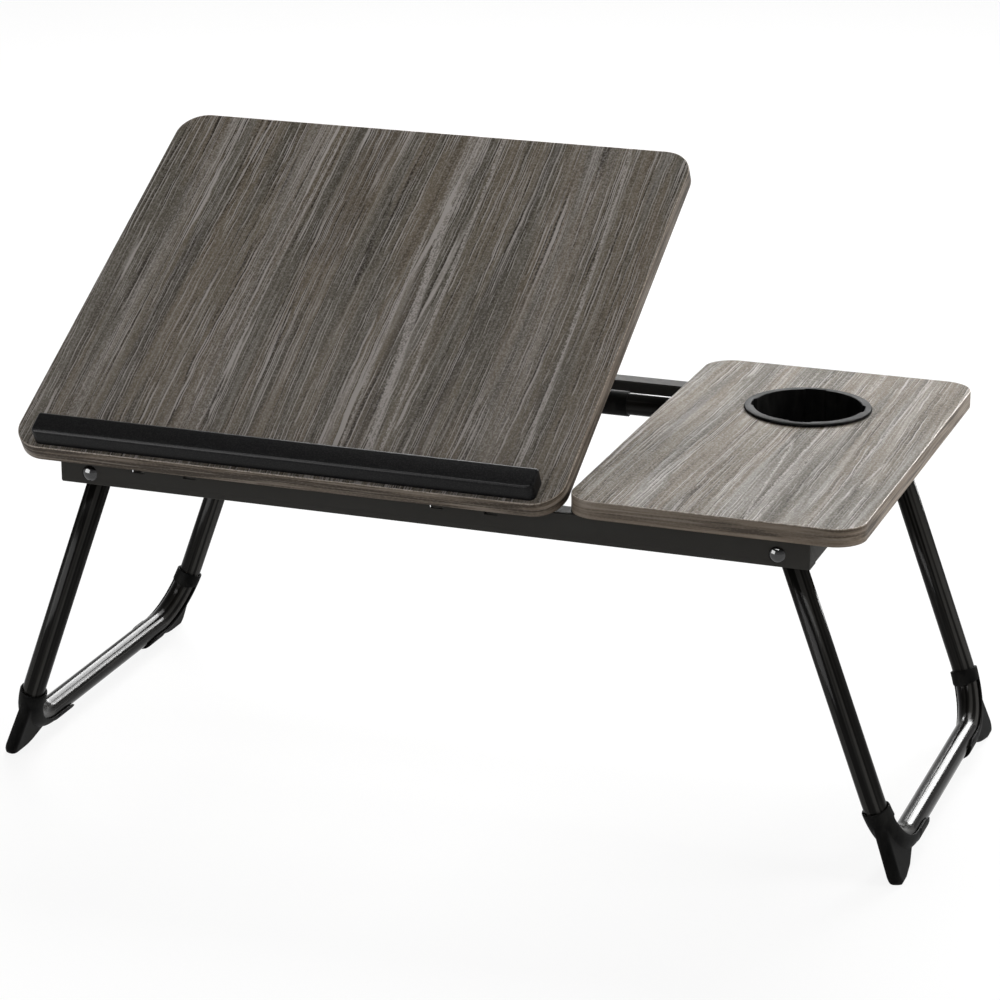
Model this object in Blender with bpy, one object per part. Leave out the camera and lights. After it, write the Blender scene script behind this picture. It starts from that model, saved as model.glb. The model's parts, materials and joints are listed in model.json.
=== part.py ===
"""Folding laptop bed table: a fixed side top with a cup holder and a wide top that tilts on a prop.

Metres, +X to the right, +Y to the back, +Z up. The origin lies on the floor, in the middle of the
table's overall box, with the legs open and the wide top raised to its steepest lock.
"""

import math

import bmesh
import bpy
from mathutils import Matrix, Vector

# Fits shared by all pieces
FIT = 0.0003
OVERLAP = 0.002
MERGE_SHARE = 0.06

# The two tops
BOARD_THICK = 0.0125
BOARD_DEPTH = 0.350
TILT_WIDTH = 0.402
FIXED_WIDTH = 0.200
TOP_SEAM = 0.0015
CORNER_RADIUS = 0.022
EDGE_BAND = 0.0010
CORNER_STEPS = 6

# Steel frame under the tops
FRAME_INSET = 0.03355
FRONT_SETBACK = 0.0070
REAR_SETBACK = 0.0240
RAIL_HEIGHT = 0.0195
RAIL_WALL = 0.0015
RAIL_DEPTH = 0.0150
END_FLANGE = 0.0120

# Legs: one bent tube on each side, riveted to the front and rear rails
TUBE_RADIUS = 0.0082
TUBE_WALL = 0.0012
TUBE_SIDES = 16
SMALL_SIDES = 12
SCREW_SIDES = 10
LEG_INSET = 0.02195
ARM_SETBACK = 0.0245
LEG_LENGTH = 0.2258
LEG_LEAN = {"left": math.radians(19.8), "right": math.radians(20.15)}
LEG_BEND = 0.042
LEG_BEND_STEPS = 9
LEG_TOP = 0.0050
PIVOT_DROP = 0.0240
RIVET_RADIUS = 0.0030
RIVET_HEAD = 0.0056
RIVET_DOME = 0.0027
RIVET_TAIL = 0.0046
RIVET_TAIL_DEPTH = 0.0018
SPACER_WALL = 0.0030
STOP_WIDTH = 0.014
STOP_HEIGHT = 0.0052
STOP_BELOW_PIVOT = 0.0028

# Moulded boots on the four bends
BOOT_WALL = 0.0012
BOOT_COLLAR_START = 0.1909
BOOT_RING = 0.0090
WINDOW_HALF = 0.0063
TROUGH_WALL = 0.0018
TROUGH_OUTER_END = 0.084
TROUGH_INNER_END = 0.056
FOOT_REACH = 0.0171
FOOT_HALF = 0.0046
FOOT_FRONT = 0.0092
FOOT_SOLE = 0.0130
FOOT_HEEL = 0.033
MOUTH_START = 0.036
MOUTH_SLOPE = 0.058
WINDOW_CHIN = 0.0139
WINDOW_END = 0.0361

# Tilting joint: two small hinges let into the wide top
TILT = math.radians(29.32)
HINGE_SETBACK = 0.0062
HINGE_KNUCKLE = 0.0022
HINGE_LEAF = 0.0008
HINGE_LENGTH = 0.048
HINGE_EYE = 0.0090
HINGE_REACH = 0.026
HINGE_DROP = 0.015
HINGE_PIN = 0.0009
HINGE_LEFT_INSET = 0.1118
HINGE_RIGHT_INSET = 0.0705
HINGE_NOTCH_DROP = 0.0072
HINGE_SCREW_PITCH = 0.030
HINGE_SCREW_EDGE = 0.0055

# Prop that holds the wide top up
PROP_RADIUS = 0.0082
PROP_HUB = 0.0097
PROP_ARM_INSET = 0.067
PROP_ARM_SHARE = 0.5425
PROP_ARM_THICK = 0.0040
PROP_ARM_HALF = 0.0050
PROP_ARM_ROOT = 0.0102
PROP_HUB_LENGTH = 0.0225
PROP_PIN = 0.0030
PROP_PAST_SEAM = 0.02525
PROP_TRACK_DROP = 0.0145
LOCK_ANGLES = tuple(math.radians(a) for a in (8.0, 15.0, 22.0))
LOCK_DEPTH = 0.0011
TRACK_THICK = 0.0040
TRACK_RIM = 0.0025
TRACK_END = 0.0105
TRACK_LUG = 0.0110
TRACK_LUG_THICK = 0.0025
SADDLE_WIDTH = 0.016
SADDLE_WALL = 0.0035
BUSH_WIDTH = 0.0060

# Stop bar along the front of the wide top
BAR_LENGTH = 0.367
BAR_OFFSET = 0.0009
BAR_DEPTH = 0.0183
BAR_HEIGHT = 0.0135
BAR_SLOPE = 0.0008
BAR_EDGE = 0.0010
BAR_SETBACK = 0.0030
BAR_END_RADIUS = 0.004
PEG_RADIUS = 0.0030
PEG_DEPTH = 0.0075
PEG_INSET = 0.060

# Cup holder let into the fixed top
CUP_BACK = 0.101
CUP_RADIUS = 0.0415
CUP_RIM = 0.0455
CUP_RIM_THICK = 0.0022
CUP_WALL = 0.0018
CUP_DEPTH = 0.045
CUP_BASE_RADIUS = 0.0375
CUP_STEPS = 32

# Screws
SCREW_RADIUS = 0.0018
SCREW_HEAD = 0.0034
SCREW_HEAD_FLAT = 0.0027
SCREW_HEAD_THICK = 0.0016
SCREW_GRIP = 0.0080
TOP_SCREW_INSET = 0.030
TOP_SCREW_PITCH = 0.095

# Places worked out from the sizes
PIVOT_HEIGHT = (LEG_LENGTH + FOOT_REACH) * math.cos(LEG_LEAN["left"])
TOP_HEIGHT = PIVOT_HEIGHT + PIVOT_DROP
UNDERSIDE = TOP_HEIGHT - BOARD_THICK
RAIL_TOP = UNDERSIDE - FIT
RAIL_BOTTOM = RAIL_TOP - RAIL_HEIGHT
TOP_WIDTH = TILT_WIDTH + TOP_SEAM + FIXED_WIDTH
FRAME_LENGTH = TOP_WIDTH - 2 * FRAME_INSET
LEG_SPAN = FRAME_LENGTH - 2 * LEG_INSET
PROP_ARM_SPACING = TILT_WIDTH - 2 * PROP_ARM_INSET
PROP_RIGHT_END = TOP_WIDTH / 2 - FIXED_WIDTH + PROP_PAST_SEAM
LEG_SPREAD = BOARD_DEPTH - FRONT_SETBACK - REAR_SETBACK - 2 * ARM_SETBACK
TILT_MIDDLE = (TILT_WIDTH - TOP_WIDTH) / 2
FIXED_MIDDLE = (TOP_WIDTH - FIXED_WIDTH) / 2
HINGE_BELOW = HINGE_KNUCKLE - HINGE_LEAF


def tilted(along, up, angle=TILT):
    """Turns a point of the flat wide top about the hinge line. Both are measured from that line."""
    return (along * math.cos(angle) - up * math.sin(angle), along * math.sin(angle) + up * math.cos(angle))


# The box's front is the foremost corner of the raised top or of its stop bar
BAR_FRONT = BAR_SETBACK - HINGE_SETBACK
FOREMOST = min(
    tilted(-HINGE_SETBACK, HINGE_BELOW + BOARD_THICK)[0],
    tilted(BAR_FRONT + BAR_SLOPE, HINGE_BELOW + BOARD_THICK + FIT + BAR_HEIGHT - BAR_EDGE)[0],
    tilted(BAR_FRONT + BAR_SLOPE + BAR_EDGE, HINGE_BELOW + BOARD_THICK + FIT + BAR_HEIGHT)[0],
)
FRONT_EDGE = -(BOARD_DEPTH + FOREMOST + HINGE_SETBACK) / 2
BACK_EDGE = FRONT_EDGE + BOARD_DEPTH
RAIL_FRONT = FRONT_EDGE + FRONT_SETBACK
RAIL_BACK = BACK_EDGE - REAR_SETBACK
FRAME_MIDDLE = (RAIL_FRONT + RAIL_BACK) / 2
HINGE_LINE = Vector((TILT_MIDDLE, FRONT_EDGE + HINGE_SETBACK, UNDERSIDE - HINGE_BELOW))
ARM_FRONT = FRAME_MIDDLE - LEG_SPREAD / 2
ARM_BACK = FRAME_MIDDLE + LEG_SPREAD / 2
PROP_BACK = ARM_BACK - TUBE_RADIUS - RIVET_TAIL_DEPTH - 2 * FIT
PROP_LINE = Vector((TILT_MIDDLE, PROP_BACK - PROP_RADIUS, UNDERSIDE - PROP_RADIUS - 1.5 * FIT))
PROP_ARM_LENGTH = PROP_ARM_SHARE * (PROP_LINE.y - HINGE_LINE.y)


def prop_angle(distance, drop):
    """The prop arm's rise above level that puts its pin this far under the top, which is tilted by drop."""
    run = PROP_LINE.y - HINGE_LINE.y
    fall = HINGE_LINE.z - PROP_LINE.z
    reach = run * math.sin(drop) + fall * math.cos(drop) + HINGE_BELOW - distance
    return math.asin(reach / PROP_ARM_LENGTH) - drop


PROP_RAISED = prop_angle(PROP_TRACK_DROP, TILT)
PROP_LOWERED = prop_angle(PROP_TRACK_DROP, 0.0)
PROP_RATIO = (PROP_RAISED - PROP_LOWERED) / TILT


def pin_place(tilt):
    """Where the prop's pin stands in the flat top's own measure from the hinge line, at this tilt."""
    rise = PROP_LOWERED + PROP_RATIO * tilt
    across = PROP_LINE.y - HINGE_LINE.y - PROP_ARM_LENGTH * math.cos(rise)
    up = PROP_LINE.z - HINGE_LINE.z + PROP_ARM_LENGTH * math.sin(rise)
    return tilted(across, up, -tilt)


def make_material(name, colour, roughness, metallic=0.0):
    material = bpy.data.materials.new(name)
    material.use_nodes = True
    shader = material.node_tree.nodes["Principled BSDF"]
    shader.inputs["Base Color"].default_value = (*colour, 1.0)
    shader.inputs["Roughness"].default_value = roughness
    shader.inputs["Metallic"].default_value = metallic
    return material


def make_object(name, bm, origin=(0, 0, 0), parent=None, material=None, smooth=False):
    """Makes an object from a bmesh measured from origin, or from the parent if it has one."""
    bmesh.ops.remove_doubles(bm, verts=bm.verts, dist=1e-7)
    bmesh.ops.recalc_face_normals(bm, faces=bm.faces)
    mesh = bpy.data.meshes.new(name)
    bm.to_mesh(mesh)
    bm.free()
    if material:
        mesh.materials.append(material)
    if smooth:
        mesh.shade_smooth()
        mesh.set_sharp_from_angle(angle=math.radians(35))
    made = bpy.data.objects.new(name, mesh)
    made.location = origin
    made.parent = parent
    bpy.context.scene.collection.objects.link(made)
    return made


def block(low, high):
    bm = bmesh.new()
    size = Vector(high) - Vector(low)
    middle = (Vector(high) + Vector(low)) / 2
    bmesh.ops.create_cube(bm, size=1.0, matrix=Matrix.Translation(middle) @ Matrix.Diagonal((*size, 1.0)))
    return bm


def prism(outline, low, high, axis="Z"):
    """Extrudes an outline of two-number points along an axis. The numbers are the other two axes in order."""
    bm = bmesh.new()
    order = {
        "X": lambda a, b, h: (h, a, b),
        "Y": lambda a, b, h: (a, h, b),
        "Z": lambda a, b, h: (a, b, h),
    }[axis]
    face = bm.faces.new([bm.verts.new(order(a, b, low)) for a, b in outline])
    raised = bmesh.ops.extrude_face_region(bm, geom=[face])["geom"]
    shift = Vector(order(0, 0, high - low))
    bmesh.ops.translate(bm, verts=[v for v in raised if isinstance(v, bmesh.types.BMVert)], vec=shift)
    bmesh.ops.recalc_face_normals(bm, faces=bm.faces)
    return bm


def rod(start, end, radius, sides=TUBE_SIDES, end_radius=None):
    """A round bar, or a cone where end_radius is given, between two points."""
    start, end = Vector(start), Vector(end)
    bm = bmesh.new()
    turn = (end - start).to_track_quat("Z", "Y").to_matrix().to_4x4()
    bmesh.ops.create_cone(
        bm,
        cap_ends=True,
        segments=sides,
        radius1=radius,
        radius2=radius if end_radius is None else end_radius,
        depth=(end - start).length,
        matrix=Matrix.Translation((start + end) / 2) @ turn,
    )
    return bm


def turned(profile, steps):
    """Spins a closed profile of (radius, height) points about the Z axis."""
    bm = bmesh.new()
    points = [bm.verts.new((r, 0.0, h)) for r, h in profile]
    edges = [bm.edges.new((points[i], points[(i + 1) % len(points)])) for i in range(len(points))]
    bmesh.ops.spin(bm, geom=points + edges, axis=(0, 0, 1), steps=steps, angle=2 * math.pi, use_merge=True)
    bmesh.ops.remove_doubles(bm, verts=bm.verts, dist=1e-6)
    bmesh.ops.recalc_face_normals(bm, faces=bm.faces)
    return bm


def swept(points, radius, sides=TUBE_SIDES):
    """A round bar along a flat route that lies in the YZ plane."""
    bm = bmesh.new()
    across = Vector((1.0, 0.0, 0.0))
    route = [Vector(p) for p in points]
    rings = []
    for i, here in enumerate(route):
        before = (here - route[max(i - 1, 0)]).normalized()
        after = (route[min(i + 1, len(route) - 1)] - here).normalized()
        side = across.cross((before + after).normalized())
        stretch = 1 / max(side.dot(across.cross(after if after.length else before)), 0.5)
        rings.append([
            bm.verts.new(here + radius * (math.cos(a) * across + stretch * math.sin(a) * side))
            for a in (2 * math.pi * k / sides for k in range(sides))
        ])
    for one, other in zip(rings, rings[1:]):
        for k in range(sides):
            bm.faces.new((one[k], one[(k + 1) % sides], other[(k + 1) % sides], other[k]))
    bm.faces.new(rings[0])
    bm.faces.new(rings[-1])
    bmesh.ops.recalc_face_normals(bm, faces=bm.faces)
    return bm


def combined(base, others, operation):
    """The base solid with others cut from it (DIFFERENCE) or joined to it (UNION), as a bmesh."""
    body = make_object("work_body", base)
    tools = [make_object("work_tool", other) for other in others]
    for tool in tools:
        step = body.modifiers.new("step", "BOOLEAN")
        step.operation = operation
        step.solver = "EXACT"
        step.object = tool
    bpy.context.view_layer.update()
    result = bmesh.new()
    result.from_mesh(body.evaluated_get(bpy.context.evaluated_depsgraph_get()).to_mesh())
    for made in [body, *tools]:
        mesh = made.data
        bpy.data.objects.remove(made)
        bpy.data.meshes.remove(mesh)
    return result


def cut(base, *others):
    return combined(base, others, "DIFFERENCE")


def join(base, *others):
    return combined(base, others, "UNION")


def moved(bm, offset=(0, 0, 0), mirror=(1, 1, 1)):
    """The same solid after a mirror in any axis marked -1, then a shift."""
    bmesh.ops.scale(bm, vec=Vector(mirror), verts=bm.verts)
    bmesh.ops.translate(bm, vec=Vector(offset), verts=bm.verts)
    bmesh.ops.recalc_face_normals(bm, faces=bm.faces)
    return bm


def rounded_rectangle(width, depth, radius, steps=CORNER_STEPS):
    """Corner points of a rectangle with round corners, centred on the origin."""
    outline = []
    for quarter, (sx, sy) in enumerate(((1, 1), (-1, 1), (-1, -1), (1, -1))):
        centre = Vector((sx * (width / 2 - radius), sy * (depth / 2 - radius)))
        for step in range(steps + 1):
            angle = math.pi / 2 * (quarter + step / steps)
            outline.append(tuple(centre + radius * Vector((math.cos(angle), math.sin(angle)))))
    return outline


def leg_route(start, end):
    """Centre line from start below the pivot, down the arm, round the bend and along to end."""
    corner = LEG_LENGTH - LEG_BEND
    route = [Vector((0.0, 0.0, LEG_TOP))]
    for step in range(LEG_BEND_STEPS + 1):
        angle = math.pi / 2 * step / LEG_BEND_STEPS
        route.append(Vector((0.0, LEG_BEND * (1 - math.cos(angle)), -corner - LEG_BEND * math.sin(angle))))
    route.append(Vector((0.0, end, -LEG_LENGTH)))
    first = next(i for i, point in enumerate(route) if point.z < -start)
    share = (-start - route[first - 1].z) / (route[first].z - route[first - 1].z)
    return [route[first - 1].lerp(route[first], share), *route[first:]]


def empty(name, location, turn=(0, 0, 0)):
    made = bpy.data.objects.new(name, None)
    made.location = location
    made.rotation_euler = turn
    bpy.context.scene.collection.objects.link(made)
    return made


def make_tops(mats, tilt_axis):
    """The fixed top, the wide top, and the bands around their edges."""
    core = EDGE_BAND + FIT

    def board(width):
        outline = rounded_rectangle(width - 2 * core, BOARD_DEPTH - 2 * core, CORNER_RADIUS - core)
        return prism(outline, 0, BOARD_THICK)

    def band(width):
        outer = prism(rounded_rectangle(width, BOARD_DEPTH, CORNER_RADIUS), 0, BOARD_THICK)
        inset = 2 * EDGE_BAND
        hole = rounded_rectangle(width - inset, BOARD_DEPTH - inset, CORNER_RADIUS - EDGE_BAND)
        return cut(outer, prism(hole, -OVERLAP, BOARD_THICK + OVERLAP))

    middle = Vector((FIXED_MIDDLE, (FRONT_EDGE + BACK_EDGE) / 2, UNDERSIDE))
    cup = Vector((0, BOARD_DEPTH / 2 - CUP_BACK, 0))
    down = Vector((0, 0, -OVERLAP))
    holes = [rod(cup + down, cup + Vector((0, 0, BOARD_THICK + OVERLAP)), CUP_RADIUS + 2 * FIT, CUP_STEPS)]
    for x, y in top_screw_places():
        start = Vector((x, y, UNDERSIDE)) - middle
        holes.append(screw_hole(start))
    make_object("fixed_top", cut(board(FIXED_WIDTH), *holes), middle, None, mats["laminate"])
    make_object("fixed_top_edge_band", band(FIXED_WIDTH), middle, None, mats["edge"])

    # The wide top is measured from the hinge line
    shift = (0, BOARD_DEPTH / 2 - HINGE_SETBACK, HINGE_BELOW)
    pockets = []
    for x in hinge_places():
        half = HINGE_LENGTH / 2 + FIT
        pockets.append(block(
            (x - half, -HINGE_KNUCKLE - 2 * FIT, HINGE_BELOW - OVERLAP),
            (x + half, HINGE_REACH + FIT, HINGE_BELOW + HINGE_LEAF + FIT),
        ))
        for screw in hinge_screw_places(x):
            pockets.append(screw_hole(screw, HINGE_LEAF))
    for x, y in track_screw_places():
        pockets.append(screw_hole(Vector((x, y, HINGE_BELOW))))
    for peg in peg_places():
        below = peg - Vector((0, 0, PEG_DEPTH + FIT))
        pockets.append(rod(below, peg + Vector((0, 0, OVERLAP)), PEG_RADIUS + FIT, SMALL_SIDES))
    wide = cut(moved(board(TILT_WIDTH), shift), *pockets)
    make_object("tilting_top", wide, (0, 0, 0), tilt_axis, mats["laminate"])
    edge = moved(band(TILT_WIDTH), shift)
    make_object("tilting_top_edge_band", edge, (0, 0, 0), tilt_axis, mats["edge"])


def screw_hole(place, sheet=0.0):
    """A blind hole that enters upwards at place, for a screw that first passes a sheet of this thickness."""
    top = place + Vector((0, 0, sheet + SCREW_GRIP + FIT))
    return rod(place - Vector((0, 0, OVERLAP)), top, SCREW_RADIUS + FIT, SCREW_SIDES)


def top_screw_places():
    """Four screws that hold the fixed top to the rails' upper flanges."""
    left = TOP_WIDTH / 2 - FIXED_WIDTH + TOP_SCREW_INSET
    front = RAIL_FRONT + RAIL_DEPTH / 2
    back = RAIL_BACK - RAIL_DEPTH / 2
    return [(x, y) for y in (front, back) for x in (left, left + TOP_SCREW_PITCH)]


def hinge_places():
    """Hinge middles, measured from the middle of the wide top."""
    return (HINGE_LEFT_INSET - TILT_WIDTH / 2, TILT_WIDTH / 2 - HINGE_RIGHT_INSET)


def hinge_screw_places(x):
    y = HINGE_REACH - HINGE_SCREW_EDGE
    return [Vector((x + side * HINGE_SCREW_PITCH / 2, y, HINGE_BELOW)) for side in (-1, 1)]


def peg_places():
    """Pegs under the stop bar, at the upper face of the wide top."""
    y = BAR_FRONT + BAR_DEPTH / 2
    reach = BAR_LENGTH / 2 - PEG_INSET
    return [Vector((BAR_OFFSET + side * reach, y, HINGE_BELOW + BOARD_THICK)) for side in (-1, 1)]


def track_span():
    """Front and rear ends of the slot's centre line, measured from the hinge line."""
    return pin_place(0.0)[0], pin_place(TILT)[0]


def track_middle(side):
    """Middle of a track plate's thickness, outside the prop arm on this side."""
    return side * (PROP_ARM_SPACING / 2 + PROP_ARM_THICK / 2 + 3 * FIT + TRACK_THICK / 2)


def track_screw_places():
    front, back = track_span()
    ends = (front - TRACK_END - TRACK_LUG / 2, back + TRACK_END + TRACK_LUG / 2)
    return [(track_middle(side), y) for side in (-1, 1) for y in ends]


def make_frame(mats):
    """Four pressed steel rails welded into a ring."""
    half = FRAME_LENGTH / 2
    wall = RAIL_WALL

    def channel(front, sign):
        """A channel with its web on the outside, its flanges turned in. sign is +1 at the front rail."""
        outline = [
            (0, 0), (RAIL_DEPTH, 0), (RAIL_DEPTH, wall), (wall, wall),
            (wall, RAIL_HEIGHT - wall), (RAIL_DEPTH, RAIL_HEIGHT - wall),
            (RAIL_DEPTH, RAIL_HEIGHT), (0, RAIL_HEIGHT),
        ]
        points = [(front + sign * y, RAIL_BOTTOM + z) for y, z in outline]
        return prism(points, -half, half, "X")

    def rivet_holes(web):
        reach = wall + OVERLAP
        return [
            rod((x, web - reach, PIVOT_HEIGHT), (x, web + reach, PIVOT_HEIGHT), RIVET_RADIUS + FIT)
            for x in (-LEG_SPAN / 2, LEG_SPAN / 2)
        ]

    def screw_holes(nearest):
        return [
            rod((x, y, RAIL_TOP - wall - OVERLAP), (x, y, RAIL_TOP + OVERLAP), SCREW_RADIUS + FIT,
                SCREW_SIDES)
            for x, y in top_screw_places() if abs(y - nearest) < RAIL_DEPTH * 2
        ]

    notches = []
    for place in hinge_places():
        x = TILT_MIDDLE + place
        reach = HINGE_LENGTH / 2 + 2 * FIT
        back = RAIL_FRONT + wall + HINGE_LEAF + 3 * FIT
        low = HINGE_LINE.z - HINGE_KNUCKLE - 2 * FIT
        notches.append(block((x - reach, RAIL_FRONT - OVERLAP, low), (x + reach, back, RAIL_TOP + OVERLAP)))
        for side in (-1, 1):
            middle = x + side * (HINGE_LENGTH - HINGE_EYE) / 2
            notches.append(block(
                (middle - HINGE_EYE / 2 - FIT, RAIL_FRONT - OVERLAP, RAIL_TOP - HINGE_NOTCH_DROP),
                (middle + HINGE_EYE / 2 + FIT, RAIL_FRONT + wall + OVERLAP / 4, low + OVERLAP / 4),
            ))
    front = cut(channel(RAIL_FRONT, 1), *rivet_holes(RAIL_FRONT), *screw_holes(RAIL_FRONT), *notches)
    make_object("front_rail", front, (0, 0, 0), None, mats["rail"])
    back = cut(channel(RAIL_BACK, -1), *rivet_holes(RAIL_BACK), *screw_holes(RAIL_BACK))
    make_object("rear_rail", back, (0, 0, 0), None, mats["rail"])

    near, far = RAIL_FRONT + RAIL_DEPTH + FIT, RAIL_BACK - RAIL_DEPTH - FIT
    for name, side in (("left_end_rail", -1), ("right_end_rail", 1)):
        web = block((half - wall, RAIL_FRONT + wall + FIT, RAIL_BOTTOM + wall + FIT),
                    (half, RAIL_BACK - wall - FIT, RAIL_TOP - wall - FIT))
        middle_web = block((half - wall, near, RAIL_BOTTOM), (half, far, RAIL_TOP))
        flange = block((half - wall - END_FLANGE, near, RAIL_TOP - wall), (half - wall / 2, far, RAIL_TOP))
        rail = join(web, middle_web, flange)
        if side < 0:
            gap = PROP_RADIUS + 2 * FIT
            notch = half - wall - END_FLANGE - OVERLAP
            rail = cut(rail, block(
                (notch, PROP_LINE.y - gap, RAIL_TOP - wall - OVERLAP),
                (half - wall - FIT, PROP_LINE.y + gap, RAIL_TOP + OVERLAP),
            ))
        make_object(name, moved(rail, (0, 0, 0), (side, 1, 1)), (0, 0, 0), None, mats["rail"])


def make_leg(name, side, axis, mats):
    """One bent tube with a boot on each bend, measured from the pivot with the arms straight down."""
    half = LEG_SPREAD / 2
    down = leg_route(-LEG_TOP, half)[:-1]
    route = [Vector((0.0, y - half, z)) for _, y, z in down]
    route += [Vector((0.0, half - y, z)) for _, y, z in reversed(down)]
    outer = swept(route, TUBE_RADIUS)
    reach = Vector((0.0, 0.0, OVERLAP))
    inner = swept([route[0] + reach, *route[1:-1], route[-1] + reach], TUBE_RADIUS - TUBE_WALL)
    hole = rod((0, -half - 2 * TUBE_RADIUS, 0), (0, half + 2 * TUBE_RADIUS, 0), RIVET_RADIUS + FIT)
    make_object(f"{name}_leg_tube", cut(outer, inner, hole), (0, 0, 0), axis, mats["tube"], smooth=True)

    lean = LEG_LEAN[name]
    sole = PIVOT_HEIGHT / math.cos(lean)
    for place, turn in (("front", 1), ("rear", -1)):
        boot = boot_solid(sole, side)
        floor = Vector((side * math.sin(lean), 0, -math.cos(lean)))
        cut_geometry = bmesh.ops.bisect_plane(
            boot, geom=[*boot.verts, *boot.edges, *boot.faces], plane_co=(0, 0, -sole), plane_no=floor,
            dist=1e-6, clear_outer=True,
        )["geom_cut"]
        bmesh.ops.edgenet_fill(boot, edges=[e for e in cut_geometry if isinstance(e, bmesh.types.BMEdge)])
        boot = moved(boot, (0, -turn * half, 0), (1, turn, 1))
        make_object(f"{place}_{name}_boot", boot, (0, 0, 0), axis, mats["plastic"], smooth=True)


def boot_solid(sole, side):
    """A boot measured from the pivot, with the arm on the Z axis and the cross tube running to +Y."""
    outside = TUBE_RADIUS + FIT + BOOT_WALL
    trough = TUBE_RADIUS + FIT + TROUGH_WALL
    end = TROUGH_OUTER_END
    shell = swept(leg_route(BOOT_COLLAR_START, end - OVERLAP), outside)
    gutter = rod((0, LEG_BEND + OVERLAP, -LEG_LENGTH), (0, end, -LEG_LENGTH), trough)
    fin_low = sole + OVERLAP * 2
    fin = prism([
        (-FOOT_FRONT * 0.75, -(BOOT_COLLAR_START + 2 * outside)), (-FOOT_FRONT, -(LEG_LENGTH + outside)),
        (-FOOT_FRONT, -(sole - OVERLAP * 2)), (-FOOT_FRONT * 0.3, -fin_low), (FOOT_SOLE - OVERLAP, -fin_low),
        ((FOOT_SOLE + FOOT_HEEL) / 2, -(sole - OVERLAP * 2)), (FOOT_HEEL, -(LEG_LENGTH + outside * 0.9)),
        (FOOT_HEEL, -LEG_LENGTH), (OVERLAP, -(BOOT_COLLAR_START + 2 * outside)),
    ], -FOOT_HALF, FOOT_HALF, "X")
    sides = [e for e in fin.edges if abs(e.verts[0].co.x - e.verts[1].co.x) < 1e-6]
    bmesh.ops.bevel(fin, geom=sides, offset=FOOT_HALF * 0.35, segments=2, profile=0.5, affect="EDGES",
                    material=-1, clamp_overlap=True)
    bore = swept(leg_route(BOOT_COLLAR_START - OVERLAP, end + OVERLAP), TUBE_RADIUS + FIT)
    wide = 2 * trough
    far = end + OVERLAP
    mouth = prism([
        (MOUTH_START, -(LEG_LENGTH - outside * 1.3)), (far, -(LEG_LENGTH - outside * 1.3)),
        (far, -(LEG_LENGTH + outside * 0.35)), (MOUTH_SLOPE, -(LEG_LENGTH + outside * 0.35)),
    ], -wide, wide, "X")
    ring = BOOT_COLLAR_START + BOOT_RING
    window = prism([
        (WINDOW_HALF / 2, -ring), (WINDOW_CHIN, -(ring + WINDOW_CHIN)), (WINDOW_END, -LEG_LENGTH),
        (far, -LEG_LENGTH), (far, -BOOT_COLLAR_START),
        (outside * 2, -BOOT_COLLAR_START), (outside * 2, -ring),
    ], -WINDOW_HALF, WINDOW_HALF, "X")
    slant = prism([(side * wide, TROUGH_INNER_END - OVERLAP * 2), (-side * wide, TROUGH_OUTER_END),
                   (-side * wide, far), (side * wide, far)],
                  -(LEG_LENGTH + wide), -(LEG_LENGTH - wide), "Z")
    return cut(join(shell, gutter, fin), bore, mouth, window, slant)


def make_pivots(mats):
    """Rivets, spacers and stops that carry the two legs on the frame."""
    for end, arm, web, sign in (("front", ARM_FRONT, RAIL_FRONT, 1), ("rear", ARM_BACK, RAIL_BACK, -1)):
        for name, side in (("left", -1), ("right", 1)):
            x = side * LEG_SPAN / 2
            face = web - sign * FIT
            inner = arm + sign * (TUBE_RADIUS + FIT)
            dome = [
                (math.cos(a) * RIVET_HEAD, math.sin(a) * RIVET_DOME)
                for a in (math.pi / 2 * k / 4 for k in range(5))
            ]
            head = turned([(0, 0), *dome[:-1], (0, RIVET_DOME)], TUBE_SIDES)
            bmesh.ops.rotate(head, verts=head.verts, matrix=Matrix.Rotation(math.radians(sign * 90), 3, "X"))
            head = moved(head, (x, face, PIVOT_HEIGHT))
            shank = rod((x, face - sign * RIVET_DOME / 3, PIVOT_HEIGHT),
                        (x, inner + sign * RIVET_TAIL_DEPTH / 2, PIVOT_HEIGHT), RIVET_RADIUS)
            tail = rod((x, inner, PIVOT_HEIGHT), (x, inner + sign * RIVET_TAIL_DEPTH, PIVOT_HEIGHT),
                       RIVET_TAIL, TUBE_SIDES, RIVET_RADIUS)
            rivet = join(shank, head, tail)
            make_object(f"{end}_{name}_leg_rivet", rivet, (0, 0, 0), None, mats["rivet"], smooth=True)

            near = web + sign * (RAIL_WALL + FIT)
            far = arm - sign * (TUBE_RADIUS + FIT)
            radius = RIVET_RADIUS + FIT
            ring = cut(
                rod((x, near, PIVOT_HEIGHT), (x, far, PIVOT_HEIGHT), radius + SPACER_WALL),
                rod((x, near - sign * OVERLAP, PIVOT_HEIGHT), (x, far + sign * OVERLAP, PIVOT_HEIGHT),
                    radius),
            )
            make_object(f"{end}_{name}_pivot_spacer", ring, (0, 0, 0), None, mats["plastic"], smooth=True)

            top = PIVOT_HEIGHT - STOP_BELOW_PIVOT
            low = top - STOP_HEIGHT
            rail = FRAME_LENGTH / 2 - RAIL_WALL - FIT

            def arm_face(z):
                lean = (PIVOT_HEIGHT - z) * math.tan(LEG_LEAN[name])
                return LEG_SPAN / 2 + lean + TUBE_RADIUS / math.cos(LEG_LEAN[name]) + FIT

            outline = [(rail, low), (rail, top), (arm_face(top), top), (arm_face(low), low)]
            stop = prism(outline, arm - STOP_WIDTH / 2, arm + STOP_WIDTH / 2, "Y")
            make_object(f"{end}_{name}_leg_stop", moved(stop, (0, 0, 0), (side, 1, 1)),
                        (0, 0, 0), None, mats["plastic"])


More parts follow.
